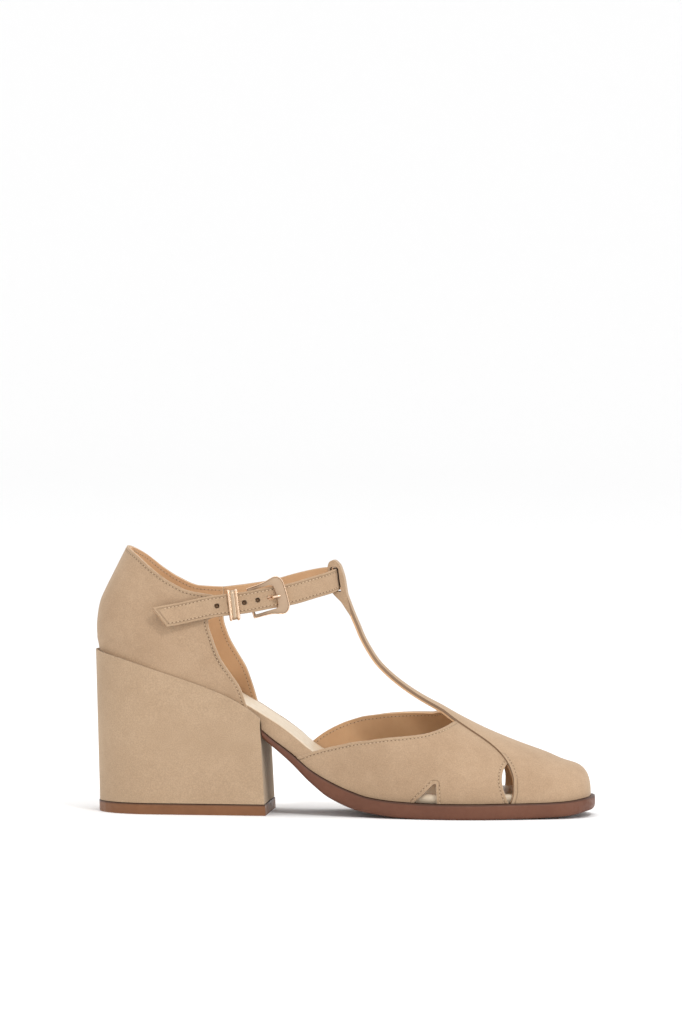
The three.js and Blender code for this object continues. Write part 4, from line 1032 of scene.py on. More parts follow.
# %% The sole
WAIST_EDGE = 0.5
BALL_EDGE = 1.8
SOLE_ROUND = 1.4
BREAST_SLOPE = 2.9
HEEL_RIM = 5.3
BREAST_TOP = seat(BREAST) + HEEL_RIM
SOLE_AT, SOLE_THICK = columns(
    (0.32, 0.46),
    (0.36, 0.46),
    (0.4, 0.61),
    (0.44, 0.81),
    (0.48, 1.06),
    (0.52, 1.08),
    (0.56, 0.98),
    (0.62, 1),
    (0.78, 1),
    (0.84, 0.99),
    (0.9, 0.96),
    (0.948, 0.95),
    (0.992, 0.86),
)
# Columns: how far out, as a share of SOLE_ROUND, and how deep, as a share of the thickness
SOLE_OUT, SOLE_DEPTH = columns((-0.12, 0), (0, 0.15), (0.07, 0.5), (-0.12, 0.85), (-0.75, 1))
sole_thick = smooth(SOLE_AT, SOLE_THICK)
sole_edge = smooth([0.3, 0.5, 0.62, 0.9, 1], [WAIST_EDGE] * 2 + [BALL_EDGE] * 2 + [TOE_EDGE])
sole_out = smooth(SOLE_DEPTH, SOLE_OUT)
SOLE_LEVELS = 9
SOLE_START = 0.382  # share of the plan at the heel's front face


def breast_x(z):
    return BREAST + BREAST_SLOPE * (1 - z / BREAST_TOP)


def sole_ring(s):
    share = lerp(SOLE_START, 1, s)
    x = plan_point(share, LATERAL).x
    margin = sole_edge(share_at(x))

    def one_side(side):
        points = []
        for depth in steps(0, 1, SOLE_LEVELS):
            edge = plan_edge(share, side, margin + SOLE_ROUND * sole_out(depth))
            thick = TREAD * sole_thick(share_at(edge.x))
            edge.z = seat(edge.x) - GAP / 2 * (1 - depth) - depth * thick
            edge.x = max(edge.x, breast_x(edge.z) + GAP)
            points.append(edge)
        return points

    outer, inner = one_side(LATERAL), one_side(MEDIAL)
    under = across(outer[-1], inner[-1], 10)
    above = across(inner[0], outer[0], 4)
    return outer + under + inner[::-1] + above + [outer[0]]


sole = closed_piece("sole", "outsole", sole_leather, 120, sole_ring)


def keep_depth(piece, top):
    """Writes how far each vertex lies under a piece's top edge, in millimetres."""
    values = piece.data.attributes["seam_mm"].data
    for vertex in piece.data.vertices:
        point = vertex.co / MM - SHIFT
        values[vertex.index].value = top(point) - point.z


keep_depth(sole, lambda point: seat(point.x) - GAP / 2)

# %% The heel and its tip
HEEL_WIDTH = 59.5
HEEL_TAPER = 0.97
HEEL_WAIST = 0.88
HEEL_WAIST_POWER = 8
HEEL_BACK_SLOPE = 2.5
TOP_PIECE = 5.3
TOP_PIECE_MARGIN = -0.3
HEEL_LEVELS = 24


def heel_side(share, z, margin, side):
    """A point of the heel's plan at a height, from its back to its front face."""
    back = -HALF + HEEL_BACK_SLOPE * (1 - z / BACK_SEAT) + margin
    x = lerp(back, breast_x(z) - margin, share**BACK_CROWD)
    half = HEEL_WIDTH / 2 * lerp(HEEL_TAPER, 1, z / BACK_SEAT) - margin
    waist = lerp(1, HEEL_WAIST, share**HEEL_WAIST_POWER) if side == MEDIAL else 1
    return Vector((x, side * half * waist * round_off(1 - (x - back) / COLLAR_RADIUS, BACK_POWER), z))


def rim_point(share, side):
    """Where the heel's side meets the slanting rim."""
    z = BACK_SEAT
    for _ in range(8):
        z = seat(heel_side(share, z, 0, side).x) + HEEL_RIM
    return heel_side(share, z, 0, side)


def cup_point(share, side, height):
    """The inside of the cup, a gap away from the upper."""

    def wall(part):
        x = lerp(back_curve(BACK_SEAT), BREAST, part**BACK_CROWD)
        return beside_foot(x, seat(x) + height, side)

    way = wall(min(share + 0.002, 1)) - wall(max(share - 0.002, 0))
    out = Vector((-way.y, way.x, 0)).normalized() * side * GAP
    if share == 0:
        out = Vector((-GAP, 0, 0))
    return wall(share) + out


def heel_ring(share):
    def one_side(side):
        rim = rim_point(share, side)
        outside = [heel_side(share, z, 0, side) for z in steps(TOP_PIECE + GAP, rim.z, HEEL_LEVELS)]
        inside = cup_point(share, side, HEEL_RIM)
        inside.z = seat(inside.x) + HEEL_RIM
        bottom = inside.copy()
        bottom.z = seat(inside.x) - GAP
        return outside + [inside, bottom]

    outer, inner = one_side(LATERAL), one_side(MEDIAL)
    return outer + inner[::-1] + [outer[0]]


closed_piece("heel_cover", "heel", heel_nubuck_painted_lighter, 60, heel_ring, rounding=0.5, sharp=38)


def tip_ring(share):
    heights = steps(0, TOP_PIECE, 6)
    outer = [heel_side(share, z, TOP_PIECE_MARGIN, LATERAL) for z in heights]
    inner = [heel_side(share, z, TOP_PIECE_MARGIN, MEDIAL) for z in heights]
    return outer + inner[::-1] + [outer[0]]


tip = closed_piece("heel_tip", "top_piece", tip_leather, 60, tip_ring, rounding=0.4, sharp=38)
keep_depth(tip, lambda point: TOP_PIECE)
print("The heel's rim runs from", rim_point(0, LATERAL).to_tuple(1), "to", rim_point(1, LATERAL).to_tuple(1))

# %% [markdown]
# ## The ankle strap
#
# The strap is sewn to the inner side of the quarter, passes through the T-bar's loop and the
# buckle, and its tip lies loose on the outer side. Its middle line is a curve through points
# beside the foot. A frame on that line says which way is along, up and out, so strap, holes,
# stitches, buckle and keeper are all drawn flat and then wrapped round the ankle.


# %% A rounded route through points
def rounded_route(points, closed=False):
    """A curve through points, spaced so that it doesn't loop between close ones."""
    count = len(points)

    def route(share):
        whole = share * (count if closed else count - 1)
        i = floor(whole)
        part = whole - i
        if not closed and i >= count - 1:
            i, part = count - 2, 1
        p1, p2 = points[i % count], points[(i + 1) % count]
        p0 = points[(i - 1) % count] if closed or i > 0 else 2 * points[0] - points[1]
        p3 = points[(i + 2) % count] if closed or i + 2 < count else 2 * points[-1] - points[-2]
        before, here, after = [(b - a).length ** 0.5 for a, b in ((p0, p1), (p1, p2), (p2, p3))]
        t1 = here * ((p1 - p0) / before - (p2 - p0) / (before + here) + (p2 - p1) / here)
        t2 = here * ((p2 - p1) / here - (p3 - p1) / (here + after) + (p3 - p2) / after)
        bend = 3 * (p2 - p1) - 2 * t1 - t2
        twist = 2 * (p1 - p2) + t1 + t2
        return p1 + t1 * part + bend * part**2 + twist * part**3

    return route


# %% The strap's own space
STRAP_WIDTH = 10.8
STRAP_THICK = 2
STRAP_LEAN_FRONT = 0.14
STRAP_LEAN_SIDE = 0.09
TIP_SLANT = 5.5
BUCKLE_FROM_TIP = 57.7
# Columns: share of the length, height as a share of BACK_RISE, stand-off in millimetres
SEWN_END = ((0.172, 0.4895, 0.5), (0.204, 0.508, 0.45), (0.236, 0.526, 0.5))
FREE_END = (
    (0.272, 0.507, 0.9),
    (0.236, 0.484, 1),
    (0.18, 0.428, 1.3),
    (0.152, 0.4056, 2.6),
    (0.13, 0.386, 4.2),
)
# Columns: share of the length, height, and sideways place as a share of BALL_WIDTH
ROUND_ANKLE = (
    (0.296, 0.561, 0.336),
    (0.348, 0.601, 0.301),
    (0.4, 0.666, 0.251),
    (0.44, 0.708, 0.195),
    (0.467, 0.7255, 0.136),
    (0.48, 0.7255, 0.071),
    (0.4828, 0.7255, 0),
    (0.48, 0.715, -0.071),
    (0.467, 0.6906, -0.136),
    (0.44, 0.6556, -0.197),
    (0.4, 0.603, -0.257),
    (0.356, 0.568, -0.306),
    (0.308, 0.527, -0.345),
)


def off_quarter(rows, side):
    points = []
    for at, height, off in rows:
        wall = beside_foot(place(at), back_height(height), side)
        y = wall.y + side * (off + STRAP_THICK / 2)
        points.append(Vector((place(at), y, back_height(height))))
    return points


around = [Vector((place(at), aside * BALL_WIDTH, back_height(height))) for at, height, aside in ROUND_ANKLE]
strap_route = rounded_route(off_quarter(SEWN_END, MEDIAL) + around + off_quarter(FREE_END, LATERAL))
ROUTE_STEPS = 600
route_points = [strap_route(share) for share in steps(0, 1, ROUTE_STEPS)]
route_lengths = [0]
for start, end in zip(route_points, route_points[1:]):
    route_lengths.append(route_lengths[-1] + (end - start).length)
STRAP_LENGTH = route_lengths[-1]
BUCKLE_RUN = STRAP_LENGTH - BUCKLE_FROM_TIP


@lru_cache(maxsize=None)
def strap_frame(run):
    """The strap's middle, way, up and out at a run from its sewn end."""
    here = clamp(run, 0, STRAP_LENGTH)
    i = clamp(bisect_left(route_lengths, here) - 1, 0, ROUTE_STEPS - 1)
    part = (here - route_lengths[i]) / (route_lengths[i + 1] - route_lengths[i])
    share = (i + part) / ROUTE_STEPS
    way = (strap_route(min(share + 1e-4, 1)) - strap_route(max(share - 1e-4, 0))).normalized()
    outward = Vector((0, 0, 1)).cross(way).normalized()
    lean = lerp(STRAP_LEAN_SIDE, STRAP_LEAN_FRONT, abs(outward.x))
    up = Vector((0, 0, 1)) - outward * lean
    up = (up - way * up.dot(way)).normalized()
    return strap_route(share) + way * (run - here), way, up, up.cross(way)


def on_strap(run, across_it, out):
    middle, _, up, away = strap_frame(round(run, 4))
    return middle + up * across_it + away * out


def at_buckle(ahead, across_it, out):
    return on_strap(BUCKLE_RUN - ahead, across_it, out)


print("The strap is", round(STRAP_LENGTH, 1), "mm long")

# %% [markdown]
# The strap is two leathers sewn together: nubuck outside and lining inside. Each is a rounded
# flat section carried along the route. The holes are punched with a Boolean modifier, because
# a punch also leaves a clean round edge in the real leather.

# %% The strap and its holes
HOLE_RADIUS = 1.2
HOLE_SPACING = 6.8
PRONG_HOLE = 1.4
PRONG_HOLE_LENGTH = 1.6
HOLES_BEHIND = 4
SLANTED = 3 / 56  # share of the strap over which the tip takes up its slant
STRAP_STITCH = 1.6  # from its edges to its stitches
# From the strap's ends to its rows of stitches, of which the upper row ends sooner
ROW_START = 3
ROW_END = 3.2
UPPER_ROW_SHORTER = 2.2
PUNCH_DEPTH = 6
HOLE_SHADE = 0.3


def flat_section(half, low, high, round_by):
    """A rounded flat section as pairs of across and out, the first repeated at its end."""
    points = []
    corners = ((1, high, 1), (1, low, -1), (-1, low, -1), (-1, high, 1))
    for k, (side, level, up) in enumerate(corners):
        for part in steps(0, 1, 3):
            turn = pi / 2 * (part if k % 2 == 0 else 1 - part)
            a = side * (half - round_by * (1 - sin(turn)))
            points.append((a, level - up * round_by * (1 - cos(turn))))
    wide = steps(-1, 1, 8)[1:-1]
    top = [(part * (half - round_by), high) for part in wide]
    bottom = [(-part * (half - round_by), low) for part in wide]
    return points[:8] + bottom + points[8:] + top + [points[0]]


def slanted(run, across_it):
    """The run of a point across the strap, once the tip's slant has moved it."""
    slant = TIP_SLANT * clamp((run / STRAP_LENGTH - 1) / SLANTED + 1)
    return run + slant * (across_it / STRAP_WIDTH - 0.5)


def strap_ring(section):
    def ring(share):
        return [on_strap(slanted(share * STRAP_LENGTH, a), a, out) for a, out in section]

    return ring


strap_half = STRAP_WIDTH / 2
face_section = flat_section(strap_half, -0.05, STRAP_THICK / 2, 0.4)
lining_section = flat_section(strap_half - 0.15, -STRAP_THICK / 2, -0.07, 0.25)
strap_face = closed_piece("strap_face", "ankle_strap", nubuck, 260, strap_ring(face_section))
strap_back = closed_piece("strap_lining", "ankle_strap", lining, 260, strap_ring(lining_section))


def keep_strap_seam(piece):
    """Writes how far each vertex lies from the strap's long edges and its slanting tip."""
    runs = steps(0, STRAP_LENGTH, 600)
    edges = [on_strap(run, side * strap_half, 0) for side in (1, -1) for run in runs]
    tip_edge = [on_strap(slanted(STRAP_LENGTH, a), a, 0) for a in steps(-strap_half, strap_half, 24)]
    tree = point_tree(edges + tip_edge)
    values = piece.data.attributes["seam_mm"].data
    for vertex in piece.data.vertices:
        values[vertex.index].value = tree.find(vertex.co / MM - SHIFT)[2]


keep_strap_seam(strap_face)


def discs(places, depth, sink):
    """Discs across the strap, at places ahead of the buckle, each stretched by its length."""
    made = bmesh.new()
    for ahead, length in places:
        start = len(made.verts)
        bmesh.ops.create_cone(
            made, cap_ends=True, segments=24, radius1=HOLE_RADIUS, radius2=HOLE_RADIUS, depth=depth
        )
        made.verts.ensure_lookup_table()
        for vertex in made.verts[start:]:
            stretched = vertex.co.x + (length / 2 if vertex.co.x > 0 else -length / 2)
            vertex.co = at_buckle(ahead + stretched, vertex.co.y, vertex.co.z - sink)
    bmesh.ops.recalc_face_normals(made, faces=made.faces)
    return made


def punch(pieces, places):
    """Cuts round holes through pieces, and removes the punch."""
    made = discs(places, PUNCH_DEPTH, 0)
    bmesh.ops.translate(made, vec=SHIFT, verts=made.verts)
    bmesh.ops.scale(made, vec=(MM, MM, MM), verts=made.verts)
    cutter = to_object(made, "punch")
    for piece in pieces:
        cut = piece.modifiers.new("holes", "BOOLEAN")
        cut.object = cutter
        cut.solver = "EXACT"
        graph = bpy.context.evaluated_depsgraph_get()
        cut_mesh = bpy.data.meshes.new_from_object(piece.evaluated_get(graph))
        piece.modifiers.clear()
        piece.data = cut_mesh
        print(piece.name, "has", len(cut_mesh.polygons), "faces after punching")
    bpy.data.objects.remove(cutter)


hole_places = [(PRONG_HOLE, PRONG_HOLE_LENGTH)]
hole_places += [(PRONG_HOLE - k * HOLE_SPACING, 0) for k in range(1, HOLES_BEHIND + 1)]
punch([strap_face, strap_back], hole_places)

# Thin dark discs between the strap's two leathers stand for the shade deep in each hole
shade = discs(hole_places[1:], HOLE_SHADE, HOLE_SHADE)
keep_seam(shade)
finish_piece(shade, "hole_shade", painted_recess_shade, "ankle_strap")

# %% [markdown]
# ## Loop, tab, buckle and keeper
#
# The T-bar is folded over the strap and sewn down, which leaves a loop. A tab of the quarter
# wraps round the buckle's bar. The buckle is a cast frame: a bright rim round a matt inlay.
# The keeper is a small metal band with two ridges. Loop and frame are outlines from short
# tables with a rounded curve through them.

# %% The T-bar's loop
LOOP_OUTSIDE = (
    (5, -7), (3.8, 0), (2.8, 3.5), (1.3, 7), (-1.3, 9.2), (-3.5, 8.6),
    (-4.5, 6), (-3.6, 0), (-2.9, -4.5), (-2, -7), (-0.1, -9.2), (2.3, -11.6),
    (5.5, -16.3), (7.2, -18.5),
)
LOOP_INSIDE = (
    (2.1, -6.4), (1.4, 0), (1, 3.2), (0.6, 5.2), (-0.5, 5.9), (-2, 6),
    (-3.2, 5.3), (-2.4, 0), (-1.7, -4), (-1.3, -5.9), (-0.1, -6.3), (1.2, -6.4),
)


def outline(points, count):
    """A smooth closed outline in the plane of the shoe's profile."""
    route = rounded_route([Vector((u, 0, v)) for u, v in points], closed=True)
    return [STRAP_FRONT + route(share) for share in steps(0, 1, count)[:-1]]


def make_loop():
    made = bmesh.new()
    edges = []
    for points in (outline(LOOP_OUTSIDE, 72), outline(LOOP_INSIDE, 60)):
        corners = [made.verts.new(point - Vector((0, T_BAR_WIDTH / 2, 0))) for point in points]
        for here, after in zip(corners, corners[1:] + corners[:1]):
            edges.append(made.edges.new((here, after)))
    filled = bmesh.ops.triangle_fill(made, edges=edges, use_beauty=True)
    faces = [item for item in filled["geom"] if isinstance(item, bmesh.types.BMFace)]
    pulled = bmesh.ops.extrude_face_region(made, geom=faces, use_keep_orig=True)
    moved = [item for item in pulled["geom"] if isinstance(item, bmesh.types.BMVert)]
    bmesh.ops.translate(made, vec=(0, T_BAR_WIDTH, 0), verts=moved)
    bmesh.ops.recalc_face_normals(made, faces=made.faces)
    keep_seam(made)
    return finish_piece(made, "strap_loop", nubuck, "upper", 0, 0.55, 60)


make_loop()

# %% The tab round the buckle's bar
FRAME_LENGTH = 18.8
FRAME_THICK = 1.3
BAR_HALF = 0.7
PRONG_RADIUS = 0.6
WRAP = 0.8
TAB_STEP = 1.3
FRAME_TILT = 0.09
TAB_BACK = -35.2
BAR_AHEAD = -0.45 * FRAME_LENGTH
BAR_RADIUS = hypot(BAR_HALF, FRAME_THICK / 2)
PRONG_OUT = -STRAP_THICK / 2 - GAP - PRONG_RADIUS
BAR_OUT = PRONG_OUT - PRONG_RADIUS - GAP - BAR_RADIUS
TAB_FACE = -STRAP_THICK / 2 - TAB_STEP
TAB_HALF = STRAP_WIDTH / 2 - 2 * GAP
TAB_EYE = BAR_RADIUS + GAP + WRAP
TAB_BEND = BAR_AHEAD - 2.4 * TAB_EYE  # where the tab leaves its flat run for the bar
TAB_SINK = 0.1  # how far its flat run lies under TAB_FACE
TAB_UNDER = 1.62  # and its end, turned back under it
WRAP_TURN = 0.72 * pi  # the tab wraps round the bar from this turn to minus it
SLOT_REACH = 2.6  # how far from the bar the prong's slot in the tab reaches
FILLET_START = -31
FILLET_LENGTH = 10
FILLET_DROP = 1.2  # how far the quarter's edge sweeps below the tab where it leaves it


def tab_path():
    """The tab's outer face in profile: along the strap, round the bar and back under itself."""
    flat = [Vector((ahead, 0, TAB_FACE - TAB_SINK)) for ahead in steps(TAB_BACK, TAB_BEND, 14)]
    bent = [
        Vector((BAR_AHEAD + TAB_EYE * cos(turn), 0, BAR_OUT + TAB_EYE * sin(turn)))
        for turn in steps(WRAP_TURN, -WRAP_TURN, 18)
    ]
    back = [Vector((ahead, 0, TAB_FACE - TAB_UNDER)) for ahead in steps(TAB_BEND, TAB_BACK, 14)]
    return flat + bent + back


def make_tab():
    route = tab_path()
    rows = 2 * len(route)
    curve = rounded_route(route)

    def point(s, t):
        here = curve(s)
        side = lerp(-1, 1, t)
        sweep = clamp((here.x - FILLET_START) / FILLET_LENGTH)
        drop = FILLET_DROP * (1 - (1 - (1 - sweep) ** 2) ** 0.5)
        across_it = side * TAB_HALF - (drop if side < 0 else 0) * abs(side)
        turned = clamp((here.x - TAB_BACK) / (BAR_AHEAD - TAB_BACK))
        return at_buckle(here.x - FRAME_TILT * turned * across_it, across_it, here.z)

    made = grid(rows, 20, point)
    bar_middle = at_buckle(BAR_AHEAD, 0, BAR_OUT)
    up = strap_frame(round(BUCKLE_RUN - BAR_AHEAD, 4))[2]

    def from_bar(face):
        return face.calc_center_median() - bar_middle

    slot = [
        face for face in made.faces
        if abs(from_bar(face).dot(up)) < PRONG_RADIUS + GAP and from_bar(face).length < SLOT_REACH
    ]
    bmesh.ops.delete(made, geom=slot, context="FACES")
    keep_seam(made)
    made.normal_update()
    outermost = max(made.faces, key=lambda face: from_bar(face).dot(Vector((0.5, -1, 0))))
    if outermost.normal.y > 0:
        bmesh.ops.reverse_faces(made, faces=made.faces)
    return finish_piece(made, "buckle_tab", nubuck, "upper", WRAP, 0.2)


make_tab()

# %% The buckle's frame and its inlay
FRAME_RIM = 0.5
FRAME_RIM_HEIGHT = 0.4
FRONT_OUT = STRAP_THICK / 2 + GAP + FRAME_THICK / 2
WINDOW_HALF = STRAP_WIDTH / 2 + 2 * GAP
# Columns: outer outline along and across, inner outline along and across
BUCKLE = (
    (0.49, 0, 0.21, 0),
    (0.488, 0.5, 0.205, 0.43),
    (0.47, 1.05, 0.19, 0.77),
    (0.412, 1.4, 0.16, 0.94),
    (0.304, 1.6, 0.1, 1),
    (0.176, 1.54, 0.039, 1),
    (0, 1.385, -0.074, 1),
    (-0.211, 1.32, -0.211, 1),
    (-0.4, 1.3, -0.338, 1),
    (-0.475, 1.26, -0.405, 0.98),
    (-0.485, 1.05, -0.416, 0.93),
    (-0.485, 0.5, -0.416, 0.5),
    (-0.485, 0, -0.416, 0),
)
frame_rise = smooth([-0.51, -0.37, 0.15, 0.51], [0, 0, 1, 1])


def on_frame(along, across_it, out):
    turned_along = along * cos(FRAME_TILT) - across_it * sin(FRAME_TILT)
    turned_across = across_it * cos(FRAME_TILT) + along * sin(FRAME_TILT)
    level = lerp(BAR_OUT, FRONT_OUT, frame_rise(along / FRAME_LENGTH))
    return at_buckle(turned_along, turned_across, level + out)


def buckle_outline(first):
    half = [Vector((row[first] * FRAME_LENGTH, row[first + 1] * WINDOW_HALF, 0)) for row in BUCKLE]
    other = [Vector((point.x, -point.y, 0)) for point in half[1:-1]]
    return rounded_route(half + other[::-1], closed=True)


outer_outline, inner_outline = buckle_outline(0), buckle_outline(2)


def frame_band(name, material, section, rounding=0.0):
    """A closed band round the frame. The section's inner points count from its inner edge."""

    def ring(share):
        near, far = inner_outline(share), outer_outline(share)
        width = (far - near).length
        points = []
        for from_edge, place_on, out in section:
            along = place_on if from_edge == "inner" else width - place_on
            points.append(on_frame(*near.lerp(far, clamp(along / width)).xy, out))
        return points

    return closed_piece(name, "buckle_frame", material, 128, ring, rounding, cap=False)


face = FRAME_THICK / 2
body = (
    ("inner", 0, -face), ("inner", 0, face), ("outer", FRAME_RIM, face), ("outer", FRAME_RIM, face + 0.25),
    ("outer", FRAME_RIM * 0.7, face + FRAME_RIM_HEIGHT), ("outer", FRAME_RIM * 0.3, face + FRAME_RIM_HEIGHT),
    ("outer", 0, face + 0.15), ("outer", 0, -face), ("inner", 0, -face),
)
plate = (
    ("inner", -0.02, face - 0.5), ("inner", 0.02, face + 0.1), ("inner", 0.25, face + 0.26),
    ("outer", FRAME_RIM + 0.3, face + 0.26), ("outer", FRAME_RIM + 0.16, face + 0.1),
    ("outer", FRAME_RIM + 0.16, face - 0.1), ("inner", -0.02, face - 0.5),
)
# The groove's floor between inlay and rim is a dark band of painted shade.
groove = (
    ("outer", FRAME_RIM + 0.2, face - 0.1), ("outer", FRAME_RIM + 0.2, face + 0.12),
    ("outer", FRAME_RIM - 0.02, face + 0.12), ("outer", FRAME_RIM - 0.02, face - 0.1),
    ("outer", FRAME_RIM + 0.2, face - 0.1),
)
frame_band("buckle_rim", gold, body, 0.08)
frame_band("buckle_plate", inlay, plate)
frame_band("buckle_groove", painted_recess_shade, groove)

# %% The prong and the keeper
PRONG_RISE = 2.6
PRONG_REACH = 4.2
KEEPER_WIDTH = 5.2
KEEPER_WALL = 1.1
KEEPER_RIDGE = 0.5
KEEPER_RIM = 1.3
KEEPER_CORNER = 0.8
KEEPER_FROM_BUCKLE = 17.6
KEEPER_HANG = 0.9  # how far the band hangs below the strap's lower edge
TAB_WALL = 1.7


def prong_route():
    hook = BAR_RADIUS + GAP + PRONG_RADIUS
    tip_out = FRONT_OUT + FRAME_THICK / 2 + FRAME_RIM_HEIGHT + GAP + PRONG_RADIUS
    hooked = [
        (BAR_AHEAD + hook * cos(turn), BAR_OUT + hook * sin(turn)) for turn in steps(-pi / 2, -1.5 * pi, 6)
    ]
    path = hooked + [
        (BAR_AHEAD + 2 * hook, PRONG_OUT),
        (PRONG_HOLE - PRONG_RISE, PRONG_OUT),
        (PRONG_HOLE - PRONG_RISE / 3, PRONG_OUT + PRONG_RADIUS / 2),
        (PRONG_HOLE, 0),
        (PRONG_HOLE + PRONG_RISE / 3, tip_out - 2 * PRONG_RADIUS),
        (PRONG_HOLE + PRONG_RISE, tip_out),
        (PRONG_HOLE + PRONG_REACH, tip_out),
    ]
    return rounded_route([Vector((ahead, 0, out)) for ahead, out in path])


prong_curve = prong_route()


def prong_ring(share):
    middle = prong_curve(share)
    way = (prong_curve(min(share + 0.002, 1)) - prong_curve(max(share - 0.002, 0))).normalized()
    taper = 0.6 + 0.4 * round_off((share - 0.9) / 0.1, 2)
    points = []
    for turn in steps(0, 2 * pi, 16):
        u, v = PRONG_RADIUS * taper * cos(turn), PRONG_RADIUS * taper * sin(turn)
        points.append(at_buckle(middle.x - way.z * u, v, middle.z + way.x * u))
    points[-1] = points[0].copy()
    return points


closed_piece("prong", "buckle_prong", gold, 80, prong_ring, rounding=0.15, sharp=60)


def keeper_ring(section, share):
    depth_out = STRAP_THICK / 2 + GAP
    depth_in = TAB_FACE - TAB_WALL - 2 * GAP
    half_across = STRAP_WIDTH / 2 + GAP - KEEPER_CORNER
    half_out = (depth_out - depth_in) / 2 - KEEPER_CORNER
    corner_steps = 9
    k, part = divmod(round(share * (4 * corner_steps + 4)), corner_steps + 1)
    k %= 4
    angle = (k + part / corner_steps) * pi / 2
    aside = half_across if k in (0, 3) else -half_across - KEEPER_HANG
    out = (depth_out + depth_in) / 2 + (1 if k < 2 else -1) * half_out
    points = []
    for ahead, thick in section:
        reach = KEEPER_CORNER + thick
        here = ahead - KEEPER_FROM_BUCKLE
        points.append(at_buckle(here, aside + reach * cos(angle), out + reach * sin(angle)))
    return points


edge, raised = KEEPER_WIDTH / 2, KEEPER_WALL + KEEPER_RIDGE
ridge = (
    (edge, KEEPER_WALL - 0.15), (edge - 0.25 * KEEPER_RIM, raised), (edge - 0.75 * KEEPER_RIM, raised),
    (edge - KEEPER_RIM, KEEPER_WALL),
)
band = [(-edge, 0), (edge, 0), *ridge, *[(-ahead, thick) for ahead, thick in ridge[::-1]], (-edge, 0)]
low, high, half = KEEPER_WALL - 0.1, KEEPER_WALL + 0.05, edge - KEEPER_RIM - 0.12
channel = [(-half, low), (half, low), (half, high), (-half, high), (-half, low)]


def band_ring(share):
    return keeper_ring(band, share)


def channel_ring(share):
    return keeper_ring(channel, share)


closed_piece("strap_keeper", "keeper", gold, 40, band_ring, rounding=0.14, cap=False, sharp=30)
closed_piece("keeper_channel", "keeper", brushed, 40, channel_ring, cap=False)

# %% [markdown]
# ## Stitches
#
# A sewing machine leaves a row of short raised stitches at an even distance from each edge.
# Each row is found from the edge itself: a step inwards along the surface, then equal steps
# along it. A stitch is a small stretched sphere, and each leather's stitches are one mesh. The
# quarter's rows and the panels' toplines show on the lining too, so they are sewn a second
# time at the wall's inner face.

# %% Rows of stitches
STITCH_PITCH = 1.9
STITCH_LONG = 1.3
STITCH_WIDE = 0.46
STITCH_HIGH = 0.3
HOLE_LONG = 0.62
HOLE_WIDE = 0.56
HOLE_HIGH = 0.1


def inset_row(edge, inside, sink):
    """A row of points and normals, moved in from an edge towards given points inside it."""
    row = []
    for i, point in enumerate(edge):
        way = (edge[min(i + 1, len(edge) - 1)] - edge[max(i - 1, 0)]).normalized()
        inward = inside[i] - point
        inward = (inward - way * inward.dot(way)).normalized()
        normal = way.cross(inward)
        if normal.dot(from_foot(point)) < 0:
            normal = -normal
        row.append((point + inward * SEAM_INSET - normal * sink, normal))
    return row


def oval(made, here, way, normal, size):
    """A stretched sphere along a seam: size gives its length, width and height."""
    side = normal.cross(way).normalized()
    axes = (way * size[0] / 2, side * size[1] / 2, normal * size[2] / 2)
    matrix = Matrix.Translation(here) @ Matrix(axes).transposed().to_4x4()
    return bmesh.ops.create_uvsphere(made, u_segments=8, v_segments=5, radius=1, matrix=matrix)["verts"]


def sew(name, node, rows):
    """One mesh with stitches and needle holes, turn by turn, along the rows."""
    made = bmesh.new()
    count = 0
    for row in rows:
        travelled = 0
        for (here, normal), (after, _) in zip(row, row[1:]):
            stretch = (after - here).length
            travelled += stretch
            if travelled < STITCH_PITCH / 2 or stretch == 0:
                continue
            travelled -= STITCH_PITCH / 2
            count += 1
            way = (after - here).normalized()
            if count % 2:
                oval(made, here, way, normal, (STITCH_LONG, STITCH_WIDE, STITCH_HIGH))
                continue
            # Every other oval is a needle hole, coloured dark as painted shade.
            hole = oval(made, here, way, normal, (HOLE_LONG, HOLE_WIDE, HOLE_HIGH))
            for face in {face for vertex in hole for face in vertex.link_faces}:
                face.material_index = 1
    keep_seam(made)
    bmesh.ops.recalc_face_normals(made, faces=made.faces)
    print(name, "has", count // 2, "stitches")
    piece = finish_piece(made, name, thread, node)
    piece.data.materials.append(painted_recess_shade)
    return piece


def row_beside(edge, inside, start, end, count, depth):
    """A row beside an edge. Edge and a line inside it are functions of a share."""
    shares = steps(start, end, count)
    return inset_row([edge(share) for share in shares], [inside(share) for share in shares], depth)


# %% The quarter's and the toe piece's stitches
def collar(aside):
    return quarter_point(aside, 1)


def below_collar(aside):
    return quarter_point(aside, 0.97)


quarter_rows = []
for depth in (0, QUARTER_WALL):
    quarter_rows.append(row_beside(collar, below_collar, -1, 1, 1600, depth))
    for end in (-1, 1):
        quarter_rows.append(
            row_beside(
                lambda up: quarter_point(end, up),
                lambda up: quarter_point(end * 0.97, up),
                0.12, 0.8, 500, depth,
            )
        )
sew("quarter_stitches", "upper", quarter_rows)

STITCH_LIFT = 0.1  # raises the stitches beside the slit, so that they show
sewn_from, sewn_to = SEWN_ROW / FOREPART_ROWS, SLIT_ROW / FOREPART_ROWS
forepart_rows = [
    row_beside(
        lambda s: forepart_point(s, end),
        lambda s: forepart_point(s, inner_share),
        sewn_from, sewn_to, 500, -STITCH_LIFT,
    )
    for end, inner_share in ((0, 0.03), (1, 0.97))
]
sew("toe_stitches", "upper", forepart_rows)

